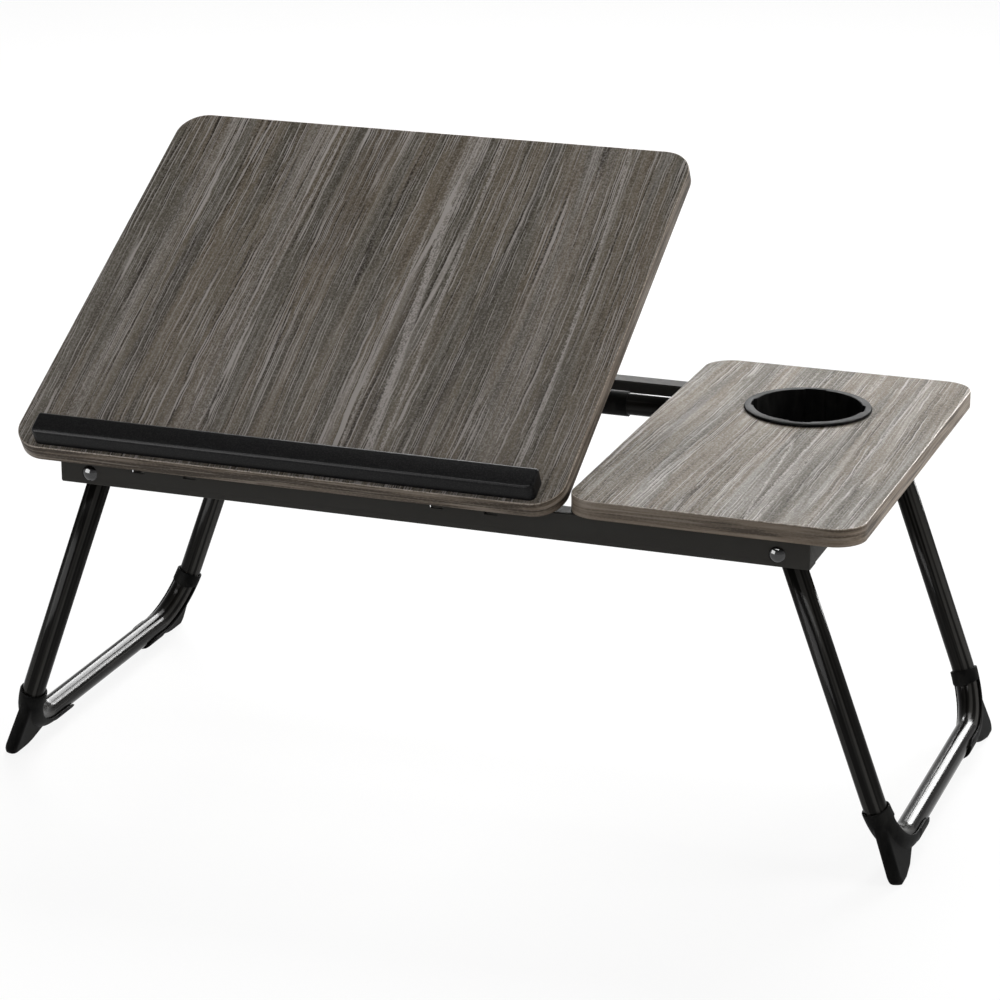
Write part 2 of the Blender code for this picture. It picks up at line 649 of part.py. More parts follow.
def make_hinges(mats, tilt_axis):
    """Two hinges. The frame leaf stands behind the front rail's web, the other lies in the wide top."""
    for name, place in zip(("left", "right"), hinge_places()):
        half = HINGE_LENGTH / 2
        line = HINGE_LINE
        x = line.x + place
        bore = rod((x - half - OVERLAP, line.y, line.z), (x + half + OVERLAP, line.y, line.z),
                   HINGE_PIN + FIT, SMALL_SIDES)
        plate_front = RAIL_FRONT + RAIL_WALL + FIT
        plate_top = line.z - HINGE_KNUCKLE * 0.2
        leaf = block((x - half, plate_front, plate_top - HINGE_DROP),
                     (x + half, plate_front + HINGE_LEAF, plate_top))
        eyes = []
        for side in (-1, 1):
            outer = x + side * half
            inner = x + side * (half - HINGE_EYE)
            eyes.append(rod((outer, line.y, line.z), (inner, line.y, line.z), HINGE_KNUCKLE, SMALL_SIDES))
            low, high = min(outer, inner) + FIT, max(outer, inner) - FIT
            eyes.append(block((low, line.y + HINGE_PIN * 1.5, line.z - HINGE_KNUCKLE * 0.9),
                              (high, plate_front + HINGE_LEAF / 2, plate_top - FIT)))
        make_object(f"{name}_hinge_frame_leaf", cut(join(leaf, *eyes), bore), (0, 0, 0), None, mats["zinc"])

        inner_half = half - HINGE_EYE - FIT
        barrel = rod((place - inner_half, 0, 0), (place + inner_half, 0, 0), HINGE_KNUCKLE, SMALL_SIDES)
        flap = block((place - half, HINGE_KNUCKLE * 0.4, HINGE_BELOW),
                     (place + half, HINGE_REACH, HINGE_BELOW + HINGE_LEAF))
        clear = [
            block((place + side * half - HINGE_EYE - 2 * FIT, -OVERLAP, -OVERLAP),
                  (place + side * half + HINGE_EYE + 2 * FIT, HINGE_KNUCKLE + 2 * FIT, OVERLAP * 2))
            for side in (-1, 1)
        ]
        pin_bore = rod((place - half, 0, 0), (place + half, 0, 0), HINGE_PIN + FIT, SMALL_SIDES)
        holes = [
            rod(screw - Vector((0, 0, OVERLAP)), screw + Vector((0, 0, OVERLAP)), SCREW_RADIUS + FIT,
                SCREW_SIDES)
            for screw in hinge_screw_places(place)
        ]
        moving = cut(join(cut(flap, *clear), barrel), pin_bore, *holes)
        make_object(f"{name}_hinge_top_leaf", moving, (0, 0, 0), tilt_axis, mats["zinc"])
        pin = rod((x - half, line.y, line.z), (x + half, line.y, line.z), HINGE_PIN, SMALL_SIDES)
        make_object(f"{name}_hinge_pin", pin, (0, 0, 0), None, mats["zinc"], smooth=True)
        for number, screw in enumerate(hinge_screw_places(place), 1):
            make_object(f"{name}_hinge_screw_{number}", screw_solid(screw, HINGE_LEAF), (0, 0, 0), tilt_axis,
                        mats["zinc"], smooth=True)


def screw_solid(place, sheet):
    """A pan head screw that enters upwards at place through a sheet of this thickness."""
    place = Vector(place)
    up = Vector((0, 0, 1))
    head = rod(place - (SCREW_HEAD_THICK + FIT) * up, place - FIT * up, SCREW_HEAD_FLAT, SCREW_SIDES,
               SCREW_HEAD)
    shank = rod(place - (FIT + SCREW_HEAD_THICK / 2) * up, place + (sheet + SCREW_GRIP) * up,
                SCREW_RADIUS, SCREW_SIDES)
    return join(head, shank)


def make_screws(mats):
    for number, (x, y) in enumerate(top_screw_places(), 1):
        place = (x, y, RAIL_TOP - RAIL_WALL)
        make_object(f"fixed_top_screw_{number}", screw_solid(place, RAIL_WALL), (0, 0, 0), None,
                    mats["zinc"], smooth=True)


def make_cup_holder(mats):
    """A drop-in cup with a flat rim that rests on the fixed top."""
    rim_top = TOP_HEIGHT + FIT + CUP_RIM_THICK
    base = rim_top - CUP_DEPTH
    inner = CUP_RADIUS - CUP_WALL
    profile = [
        (0, base), (CUP_BASE_RADIUS, base),
        (CUP_RADIUS, TOP_HEIGHT - BOARD_THICK), (CUP_RADIUS, TOP_HEIGHT + FIT),
        (CUP_RIM - CUP_RIM_THICK / 3, TOP_HEIGHT + FIT), (CUP_RIM, TOP_HEIGHT + FIT + CUP_RIM_THICK / 3),
        (CUP_RIM - CUP_RIM_THICK / 2, rim_top), (inner + CUP_RIM_THICK / 2, rim_top),
        (inner, rim_top - CUP_RIM_THICK / 2), (inner, TOP_HEIGHT - BOARD_THICK),
        (CUP_BASE_RADIUS - CUP_WALL, base + CUP_WALL), (0, base + CUP_WALL),
    ]
    cup = moved(turned(profile, CUP_STEPS), (FIXED_MIDDLE, BACK_EDGE - CUP_BACK, 0))
    make_object("cup_holder", cup, (0, 0, 0), None, mats["plastic"], smooth=True)


def make_stop_bar(mats, tilt_axis):
    """A long bar with a sloped front and round front corners, on two pegs."""
    base = HINGE_BELOW + BOARD_THICK + FIT
    section = [
        (0, 0), (BAR_SLOPE, BAR_HEIGHT - BAR_EDGE), (BAR_SLOPE + BAR_EDGE, BAR_HEIGHT),
        (BAR_DEPTH - BAR_EDGE, BAR_HEIGHT), (BAR_DEPTH, BAR_HEIGHT - BAR_EDGE), (BAR_DEPTH, 0),
    ]
    half = BAR_LENGTH / 2
    body = prism([(BAR_FRONT + y, base + z) for y, z in section], BAR_OFFSET - half, BAR_OFFSET + half, "X")
    outline = rounded_rectangle(BAR_LENGTH, BAR_DEPTH * 2, BAR_END_RADIUS)
    trim = prism(outline, base - OVERLAP, base + BAR_HEIGHT + OVERLAP)
    trim = moved(trim, (BAR_OFFSET, BAR_FRONT + BAR_DEPTH, 0))
    body = combined(body, [trim], "INTERSECT")
    holes = [
        rod(peg - Vector((0, 0, OVERLAP)), peg + Vector((0, 0, PEG_DEPTH + FIT)), PEG_RADIUS + FIT,
            SMALL_SIDES)
        for peg in peg_places()
    ]
    make_object("stop_bar", cut(body, *holes), (0, 0, 0), tilt_axis, mats["bar"])
    for number, peg in enumerate(peg_places(), 1):
        reach = Vector((0, 0, PEG_DEPTH))
        pin = rod(peg - reach, peg + reach, PEG_RADIUS, SMALL_SIDES)
        make_object(f"stop_bar_peg_{number}", pin, (0, 0, 0), tilt_axis, mats["bar"], smooth=True)


def make_prop(mats, prop_axis, tilt_axis):
    """A cross tube on the rear rail with two arms whose pins run in slotted tracks under the wide top."""
    left_end = -FRAME_LENGTH / 2 + RAIL_WALL + 2 * FIT
    start, end = left_end - TILT_MIDDLE, PROP_RIGHT_END - TILT_MIDDLE
    tube = cut(rod((start, 0, 0), (end, 0, 0), PROP_RADIUS),
               rod((start - OVERLAP, 0, 0), (end + OVERLAP, 0, 0), PROP_RADIUS - TUBE_WALL))
    make_object("prop_tube", tube, (0, 0, 0), prop_axis, mats["tube"], smooth=True)
    plug_depth = PROP_RADIUS * 1.5
    plug = join(rod((end - plug_depth, 0, 0), (end + FIT + OVERLAP / 2, 0, 0), PROP_RADIUS - TUBE_WALL - FIT),
                rod((end + FIT, 0, 0), (end + FIT + OVERLAP, 0, 0), PROP_RADIUS))
    make_object("prop_tube_plug", plug, (0, 0, 0), prop_axis, mats["plastic"], smooth=True)

    # Arms lie along -Y in their own frame, and the parent turns them
    for name, side in (("left", -1), ("right", 1)):
        x = side * PROP_ARM_SPACING / 2
        root, tip, steps = PROP_ARM_ROOT, PROP_ARM_HALF, 8
        half_turn = [math.pi * k / steps for k in range(steps + 1)]
        outline = [(root * math.sin(a), root * math.cos(a)) for a in half_turn]
        outline += [(-PROP_ARM_LENGTH - tip * math.sin(a), -tip * math.cos(a)) for a in half_turn]
        arm = prism(outline, x - PROP_ARM_THICK / 2, x + PROP_ARM_THICK / 2, "X")
        bore = rod((x - OVERLAP * 2, 0, 0), (x + OVERLAP * 2, 0, 0), PROP_RADIUS + FIT)
        wide = OVERLAP * 3
        level = block((x - wide, -PROP_ARM_LENGTH, PROP_RADIUS), (x + wide, wide * 3, PROP_ARM_ROOT * 2))
        bmesh.ops.rotate(level, verts=level.verts, matrix=Matrix.Rotation(PROP_LOWERED, 3, "X"))
        inside = x - side * PROP_ARM_THICK / 4
        outside = track_middle(side) + side * (TRACK_THICK / 2 + OVERLAP / 2)
        pin = rod((inside, -PROP_ARM_LENGTH, 0), (outside, -PROP_ARM_LENGTH, 0), PROP_PIN, SMALL_SIDES)
        make_object(f"{name}_prop_arm", join(cut(arm, bore, level), pin), (0, 0, 0), prop_axis,
                    mats["rail"])

        # Moulded hub on the right of each arm, flat where it meets the lowered top
        near = x + PROP_ARM_THICK / 2 + FIT
        far = near + PROP_HUB_LENGTH
        hub = rod((near, 0, 0), (far, 0, 0), PROP_HUB)
        hollow = rod((near - OVERLAP, 0, 0), (far + OVERLAP, 0, 0), PROP_RADIUS + FIT)
        top = block((near - OVERLAP, -PROP_HUB * 2, PROP_RADIUS), (far + OVERLAP, PROP_HUB * 2, PROP_HUB * 2))
        bmesh.ops.rotate(top, verts=top.verts, matrix=Matrix.Rotation(PROP_LOWERED, 3, "X"))
        make_object(f"{name}_prop_hub", cut(hub, hollow, top), (0, 0, 0), prop_axis,
                    mats["plastic"], smooth=True)

        front, back = track_span()
        bottom = HINGE_BELOW - PROP_TRACK_DROP - PROP_PIN - 2 * FIT - TRACK_RIM
        roof = HINGE_BELOW - FIT
        middle = track_middle(side)
        thick = TRACK_THICK / 2
        near_y, far_y = front - TRACK_END, back + TRACK_END
        corner = (far_y - near_y) * 0.16
        plate = prism([
            (near_y, roof), (near_y, bottom + corner), (near_y + corner, bottom), (far_y - corner, bottom),
            (far_y, bottom + corner), (far_y, roof),
        ], middle - thick, middle + thick, "X")
        lugs = [
            block((middle - TRACK_LUG / 2, low, roof - TRACK_LUG_THICK),
                  (middle + TRACK_LUG / 2, high, roof - FIT / 10))
            for low, high in ((near_y - TRACK_LUG, near_y + FIT), (far_y - FIT, far_y + TRACK_LUG))
        ]
        holes = [
            rod((sx, sy, roof - TRACK_LUG_THICK - OVERLAP), (sx, sy, roof + OVERLAP), SCREW_RADIUS + FIT,
                SCREW_SIDES)
            for sx, sy in track_screw_places() if sx * side > 0
        ]
        track = cut(join(plate, *lugs), *slot_solids(middle, thick + OVERLAP), *holes)
        make_object(f"{name}_prop_track", track, (0, 0, 0), tilt_axis, mats["plastic"])
    for number, (x, y) in enumerate(track_screw_places(), 1):
        place = (x, y, HINGE_BELOW - FIT - TRACK_LUG_THICK)
        make_object(f"track_screw_{number}", screw_solid(place, TRACK_LUG_THICK), (0, 0, 0), tilt_axis,
                    mats["zinc"], smooth=True)


def slot_solids(middle, half):
    """The curved slot that the prop's pin runs in, and a notch in its roof for each lock angle."""
    radius = PROP_PIN + 2 * FIT
    steps = 7
    centre = [Vector(pin_place(TILT * k / steps)) for k in range(steps + 1)]
    upper, lower = [], []
    for i, here in enumerate(centre):
        along = (centre[min(i + 1, steps)] - centre[max(i - 1, 0)]).normalized()
        across = Vector((-along.y, along.x))
        upper.append(here + radius * across)
        lower.append(here - radius * across)

    def clear(point):
        """True where the slot's centre line stays half a slot's width away from this point."""
        for one, other in zip(centre, centre[1:]):
            share = (point - one).dot(other - one) / (other - one).length_squared
            if (point - one.lerp(other, min(max(share, 0.0), 1.0))).length < radius * (1 - MERGE_SHARE):
                return False
        return True

    def cap(place, toward):
        start = math.atan2(toward.x, -toward.y)
        turns = [start - math.pi * k / 6 for k in range(1, 6)]
        return [place + radius * Vector((math.cos(a), math.sin(a))) for a in turns]

    first = (centre[1] - centre[0]).normalized()
    last = (centre[-1] - centre[-2]).normalized()
    outline = upper + cap(centre[-1], last) + lower[::-1] + cap(centre[0], -first)
    slot = prism([tuple(p) for p in outline if clear(p)], middle - half, middle + half, "X")
    notches = []
    for angle in LOCK_ANGLES:
        y, z = pin_place(angle)
        reach = half + OVERLAP / 4
        roof = z + LOCK_DEPTH
        notches.append(rod((middle - reach, y, roof), (middle + reach, y, roof), radius, 14))
    return [slot, *notches]


def make_tube_holders(mats):
    """A saddle on the rear rail and a bush on the left end rail that carry the prop's cross tube."""
    y, z = PROP_LINE.y, PROP_LINE.z
    radius = PROP_RADIUS + FIT
    back = RAIL_BACK - RAIL_WALL - FIT
    top = RAIL_TOP - RAIL_WALL - FIT
    bottom = RAIL_BOTTOM + RAIL_WALL + FIT
    right = PROP_RIGHT_END - FIT * 4
    left = right - SADDLE_WIDTH
    head = y - radius - SADDLE_WALL
    outline = [
        (head, bottom), (back, bottom), (back, top), (RAIL_BACK - RAIL_DEPTH - FIT, top),
        (RAIL_BACK - RAIL_DEPTH - FIT, RAIL_TOP - FIT), (head, RAIL_TOP - FIT),
    ]
    seat = rod((left - OVERLAP, y, z), (right + OVERLAP, y, z), radius)
    saddle = cut(prism(outline, left, right, "X"), seat)
    make_object("right_tube_saddle", saddle, (0, 0, 0), None, mats["plastic"])
    rail = -FRAME_LENGTH / 2 + RAIL_WALL + FIT
    low, high = y - radius - SADDLE_WALL, y + radius + FIT
    bush = block((rail, low, RAIL_BOTTOM), (rail + BUSH_WIDTH, high, RAIL_TOP - RAIL_WALL - FIT))
    bore = rod((rail - OVERLAP, y, z), (rail + BUSH_WIDTH + OVERLAP, y, z), radius)
    make_object("left_tube_bush", cut(bush, bore), (0, 0, 0), None, mats["plastic"])


def main():
    for old in list(bpy.data.objects):
        bpy.data.objects.remove(old)
    mats = {
        "laminate": make_material("oak_laminate", (0.155, 0.133, 0.112), 0.55),
        "edge": make_material("edge_band", (0.095, 0.080, 0.065), 0.5),
        "rail": make_material("painted_rail", (0.028, 0.027, 0.026), 0.45, 0.2),
        "tube": make_material("gloss_black_tube", (0.012, 0.012, 0.012), 0.15, 0.3),
        "plastic": make_material("black_moulding", (0.014, 0.014, 0.014), 0.4),
        "bar": make_material("stop_bar_black", (0.012, 0.012, 0.013), 0.5),
        "rivet": make_material("black_rivet", (0.02, 0.02, 0.02), 0.12, 0.6),
        "zinc": make_material("zinc_plate", (0.35, 0.35, 0.34), 0.35, 0.9),
    }
    tilt_axis = empty("tilt_axis", HINGE_LINE, (TILT, 0, 0))
    prop_axis = empty("prop_axis", PROP_LINE, (-PROP_RAISED, 0, 0))
    left_axis = empty("left_leg_axis", (-LEG_SPAN / 2, FRAME_MIDDLE, PIVOT_HEIGHT),
                      (0, LEG_LEAN["left"], 0))
    right_axis = empty("right_leg_axis", (LEG_SPAN / 2, FRAME_MIDDLE, PIVOT_HEIGHT),
                       (0, -LEG_LEAN["right"], 0))
    make_tops(mats, tilt_axis)
    make_frame(mats)
    make_leg("left", 1, left_axis, mats)
    make_leg("right", -1, right_axis, mats)
    make_pivots(mats)
    make_hinges(mats, tilt_axis)
    make_screws(mats)
    make_cup_holder(mats)
    make_stop_bar(mats, tilt_axis)
    make_prop(mats, prop_axis, tilt_axis)
    make_tube_holders(mats)


main()
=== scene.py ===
"""Folding laptop bed table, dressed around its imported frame.

Metres, +X to the right, +Y to the back, +Z up, with the origin on the floor in the middle of the table.
Pieces that tilt or fold are drawn in their own upright frame and then set in place.
"""

import json
import math

import bmesh
import bpy
from mathutils import Matrix, Vector

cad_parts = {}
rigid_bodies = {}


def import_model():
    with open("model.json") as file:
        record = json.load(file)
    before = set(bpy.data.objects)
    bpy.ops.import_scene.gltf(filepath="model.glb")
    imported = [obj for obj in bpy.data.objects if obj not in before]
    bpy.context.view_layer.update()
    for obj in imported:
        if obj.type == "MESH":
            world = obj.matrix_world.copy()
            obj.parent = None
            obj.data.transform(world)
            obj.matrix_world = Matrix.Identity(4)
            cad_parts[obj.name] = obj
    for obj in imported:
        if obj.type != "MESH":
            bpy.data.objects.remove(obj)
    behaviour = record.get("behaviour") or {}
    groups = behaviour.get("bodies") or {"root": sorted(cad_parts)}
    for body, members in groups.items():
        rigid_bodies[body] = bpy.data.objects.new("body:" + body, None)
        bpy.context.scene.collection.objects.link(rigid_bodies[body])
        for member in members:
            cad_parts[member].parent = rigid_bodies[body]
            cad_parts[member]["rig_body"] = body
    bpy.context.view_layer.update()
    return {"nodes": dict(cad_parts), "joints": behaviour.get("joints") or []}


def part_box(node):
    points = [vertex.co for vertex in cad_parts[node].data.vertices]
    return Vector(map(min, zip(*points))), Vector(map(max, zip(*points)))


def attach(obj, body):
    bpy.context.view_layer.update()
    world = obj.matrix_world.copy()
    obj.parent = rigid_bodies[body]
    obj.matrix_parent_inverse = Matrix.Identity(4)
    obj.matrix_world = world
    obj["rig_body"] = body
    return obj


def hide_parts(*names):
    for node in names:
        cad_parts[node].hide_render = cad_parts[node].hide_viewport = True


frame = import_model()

bl_info = {
    "name": "Folding Laptop Bed Table",
    "version": (1, 0, 0),
    "blender": (4, 5, 0),
    "location": "View3D > Sidebar > Bed Table",
    "description": "Builds the boards, moulded boots, tubes and fittings of a folding laptop bed table",
    "category": "Add Mesh",
}

JOINTS = {joint["name"]: joint for joint in frame["joints"]}

# Where the frame holds its moving bodies
TILT = math.radians(-JOINTS["top_tilt"]["range_deg"][0])
TILT_AXIS = Vector(JOINTS["top_tilt"]["pos_m"])
PROP_AXIS = Vector(JOINTS["prop_swing"]["pos_m"])
LEG_AXIS = {side: Vector(JOINTS[f"{side}_leg_fold"]["pos_m"]) for side in ("left", "right")}
LEG_LEAN = {"left": math.radians(19.8), "right": math.radians(-20.15)}
WIDE_PLACE = Matrix.Translation(TILT_AXIS) @ Matrix.Rotation(TILT, 4, "X")
LEG_PLACE = {
    side: Matrix.Translation(LEG_AXIS[side]) @ Matrix.Rotation(LEG_LEAN[side], 4, "Y") for side in LEG_AXIS
}

# The boards' and the frame's own measures. The wide top is drawn from its hinge line.
BOARD_LOW, BOARD_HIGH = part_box("fixed_top_edge_band")
BOARD_DEPTH = BOARD_HIGH.y - BOARD_LOW.y
FIXED_WIDTH = BOARD_HIGH.x - BOARD_LOW.x
WIDE_LOW, WIDE_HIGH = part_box("tilting_top_edge_band")
WIDE_WIDTH = WIDE_HIGH.x - WIDE_LOW.x
HINGE_SETBACK = 0.0062
HINGE_BELOW = 0.0014
CORNER_RADIUS = 0.022
CORE_CORNER_STEPS = 6
CORE_INSET = 0.0013

# How much lower the stop bar is at its front
BAR_FALL = 0.0008

# Bent leg tubes, measured from the rivet
ARM_HALF_SPREAD = 0.135
LEG_LENGTH = 0.2258
LEG_BEND = 0.042
LEG_TOP = 0.0050
TUBE_WALL = 0.0012

# Clearance between parts, and how far cutting tools reach past what they cut
FIT = 0.0003
OVERLAP = 0.002

# How far the sharp edges of hubs, other mouldings, stops and plated parts are broken
HUB_SOFTNESS = 0.0005
PART_SOFTNESS = 0.0004
STOP_SOFTNESS = 0.0003
PLATE_SOFTNESS = 0.00015

# Sides and steps of round forms
TUBE_SIDES = 48
BEND_STEPS = 16
CUP_SIDES = 128
DOME_STEPS = 12
CORNER_STEPS = 20

WHOLE_TURN = 2 * math.pi
QUARTER_TURN = math.pi / 2

WHITE = (1.0, 1.0, 1.0, 1.0)

# Name of the vector that tells a tube's finish which way the tube runs
RUN_MARK = "along_tube"


def linear(colour):
    """An sRGB hex colour as a linear colour with alpha."""
    parts = [int(colour[i:i + 2], 16) / 255 for i in (1, 3, 5)]
    return (*[p / 12.92 if p <= 0.04045 else ((p + 0.055) / 1.055) ** 2.4 for p in parts], 1.0)


def colour_property(name, description, value):
    return bpy.props.FloatVectorProperty(
        name=name, description=description, default=linear(value), size=4, min=0, max=1, subtype="COLOR")


def length_property(name, description, value):
    return bpy.props.FloatProperty(
        name=name, description=description, default=value, min=0, unit="LENGTH", subtype="DISTANCE",
        precision=5)


class BedTableSizes(bpy.types.PropertyGroup):
    """Sizes that a user may change without leaving the frame."""
    board_thickness: length_property("Board thickness", "Thickness of both tops", BOARD_HIGH.z - BOARD_LOW.z)
    edge_rounding: length_property("Edge rounding", "Radius of the bands' trimmed edges", 0.0006)
    tube_radius: length_property("Tube radius", "Outer radius of the legs' and the prop's tube", 0.0082)
    rail_rounding: length_property("Rail rounding", "Outer radius of the rails' pressed bends", 0.0013)
    bar_rounding: length_property("Stop bar rounding", "Radius of the stop bar's upper edges", 0.0024)
    bar_corner: length_property("Stop bar corner", "Radius of the stop bar's two front corners", 0.0045)
    cup_lip: length_property(
        "Cup lip", "Width of the cup's rim on the board, from its hole's edge to its own", 0.0067)
    cup_channel: length_property(
        "Cup channel depth", "Depth of the four upright channels in the cup's wall", 0.0017)
    boot_grain: length_property("Boot detail", "Size of the finest form on the moulded boots", 0.0005)


class BedTableColours(bpy.types.PropertyGroup):
    """Colours of the finishes."""
    foil_ground: colour_property("Foil ground", "Middle tone of the oak foil", "#675f52")
    foil_warm: colour_property("Foil warm", "Warm brown areas of the oak foil", "#685e50")
    foil_cool: colour_property("Foil cool", "Green-grey areas of the oak foil", "#5a554b")
    # Foil dark also paints the shadow beside each pale pore
    foil_dark: colour_property("Foil dark", "Dark pores and streaks of the oak foil", "#261f18")
    foil_pale: colour_property("Foil pale", "Pale, limed pores of the oak foil", "#a19b96")
    band_ground: colour_property("Band ground", "Middle tone of the edge band", "#766a5d")
    # Band dark also carries the band's painted shade
    band_dark: colour_property("Band dark", "Dark lines of the edge band", "#3a322a")
    band_pale: colour_property("Band pale", "Pale lines of the edge band", "#92877b")
    # The trimmed edge colour is partly the bare routed edge and partly a painted highlight on the band's rim
    trimmed_edge_and_highlight: colour_property("Trimmed edge", "Bare edge where foil and band meet", "#a89d91")
    rail_paint: colour_property("Rail paint", "Powder coat of the rails", "#3e3d3b")
    tube_paint: colour_property("Tube paint", "Gloss paint of the tubes", "#131211")
    moulding: colour_property("Moulding", "Moulded nylon parts", "#0f0f0f")
    bar_black: colour_property("Stop bar", "Stop bar's textured black", "#08080a")
    rivet_black: colour_property("Rivet", "Rivet's gloss black", "#0c0c0c")
    zinc: colour_property("Zinc", "Dark passivated zinc of hinges and screws", "#262523")
    floor: colour_property("Floor", "Pale studio floor", "#e9e9e8")


def settings(context):
    """The sizes and colours that the panel shows."""
    return context.scene.bed_table_sizes, context.scene.bed_table_colours


# Settings of a smooth step from one number to another, and the part of a noise in which most of it lies
SMOOTH = {"interpolation_type": "SMOOTHSTEP"}
MOST_NOISE = (0.3, 0.7)


def add_node(kind, *values, tree=None, **settings):
    """Adds a shader node with its settings, sets or links the inputs that these leave in use, in their
    order, and returns the outputs. None skips an input. The tree is the linked values' own, if not given."""
    tree = tree or next(value.id_data for value in values if isinstance(value, bpy.types.NodeSocket))
    node = tree.nodes.new("ShaderNode" + kind)
    for name, value in settings.items():
        setattr(node, name, value)
    for socket, value in zip([socket for socket in node.inputs if socket.enabled], values):
        if isinstance(value, bpy.types.NodeSocket):
            tree.links.new(value, socket)
        elif value is not None:
            socket.default_value = value
    return node.outputs


def new_material(name):
    """A material, its Principled shader and the coordinates of the object that wears it."""
    material = bpy.data.materials.get(name)
    if material:
        bpy.data.materials.remove(material)
    material = bpy.data.materials.new(name)
    material.use_nodes = True
    tree = material.node_tree
    here = add_node("TexCoord", tree=tree)["Object"]
    return material, tree.nodes["Principled BSDF"], here


def plugged(shader, colour, roughness, gloss, relief=None):
    """Gives a shader its colour, roughness and gloss level, and a relief of (strength, depth, height)."""
    tree = shader.id_data
    tree.links.new(colour, shader.inputs["Base Color"])
    tree.links.new(roughness, shader.inputs["Roughness"])
    shader.inputs["Specular IOR Level"].default_value = gloss
    if relief:
        strength, depth, height = relief
        bump = add_node("Bump", strength, depth, None, height)
        tree.links.new(bump[0], shader.inputs["Normal"])


def in_board(here, place, turn):
    """Coordinates that lie in a board, however it is tilted."""
    return add_node("Mapping", here, place, (turn, 0.0, 0.0), vector_type="TEXTURE")[0]


def stretched_noise(point, across, along, deep, detail=3.0, roughness=0.55, shift=0.0):
    """Noise whose features have these sizes in metres along the point's three axes."""
    place = add_node("Mapping", point, (shift, shift * 0.7, 0.0), None, (1 / across, 1 / along, 1 / deep))
    return add_node("TexNoise", place[0], 1.0, detail, roughness)[0]


def even_noise(point, size, *detail):
    """Noise whose features are this large in metres every way."""
    return stretched_noise(point, size, size, size, *detail)


def chained(operation, total, *values):
    """The sum or product of several values, taken one after another."""
    for value in values:
        total = add_node("Math", total, value, operation=operation)[0]
    return total


def added(*shares):
    """Shares of a colour, each a (value, weight) pair, added up and kept between zero and one."""
    total = chained("ADD", *(add_node("Math", *share, operation="MULTIPLY")[0] for share in shares))
    total = add_node("Math", total, 0.0, operation="MAXIMUM")[0]
    return add_node("Math", total, 1.0, operation="MINIMUM")[0]


# The rows of pores: spacing, half width and length in metres, where they begin to show and show in full,
# how far to the side their painted shadow line lies, how strong they are, and the seed.
GRAIN_ROWS = (
    (0.0044, 0.00055, 0.16, 0.46, 0.55, 0.0009, 0.94, 14.1),
    (0.0075, 0.00050, 0.24, 0.49, 0.57, -0.0009, 0.90, 17.3),
    (0.0027, 0.00045, 0.035, 0.44, 0.55, 0.0008, 0.86, 21.7),
)

# How far the grain wanders in metres: slowly, finely, and at the torn edges of a figure
GRAIN_SWAY = 0.005
GRAIN_WOBBLE = 0.0003
GRAIN_TEAR = 0.0004

# How many spacings the rows drift, and a start that keeps their count above zero
ROW_DRIFT = 2.4
ROW_START = 40.0

# Strength of the painted shadow beside a pore against its pale side, and the length over which a figure
# fades out
PORE_SHADOW = 0.95
FIGURE_FADE = 0.006


def grain_lines(across, drift, spacing, half, shadow_aside=0.0):
    """Long thin lines side by side, about this far apart in metres. drift makes the gaps uneven, and
    shadow_aside puts a second set beside the first, which draws the painted shadow beside each pore."""
    count = add_node("Math", across, 1 / spacing, drift, operation="MULTIPLY_ADD")[0]
    count = add_node("Math", count, ROW_START + shadow_aside / spacing, operation="ADD")[0]
    phase = add_node("Math", count, operation="FRACT")[0]
    away = add_node("Math", phase, 0.5, operation="SUBTRACT")[0]
    away = add_node("Math", away, operation="ABSOLUTE")[0]
    return add_node("MapRange", away, half / spacing, half * 0.3 / spacing, **SMOOTH)[0]


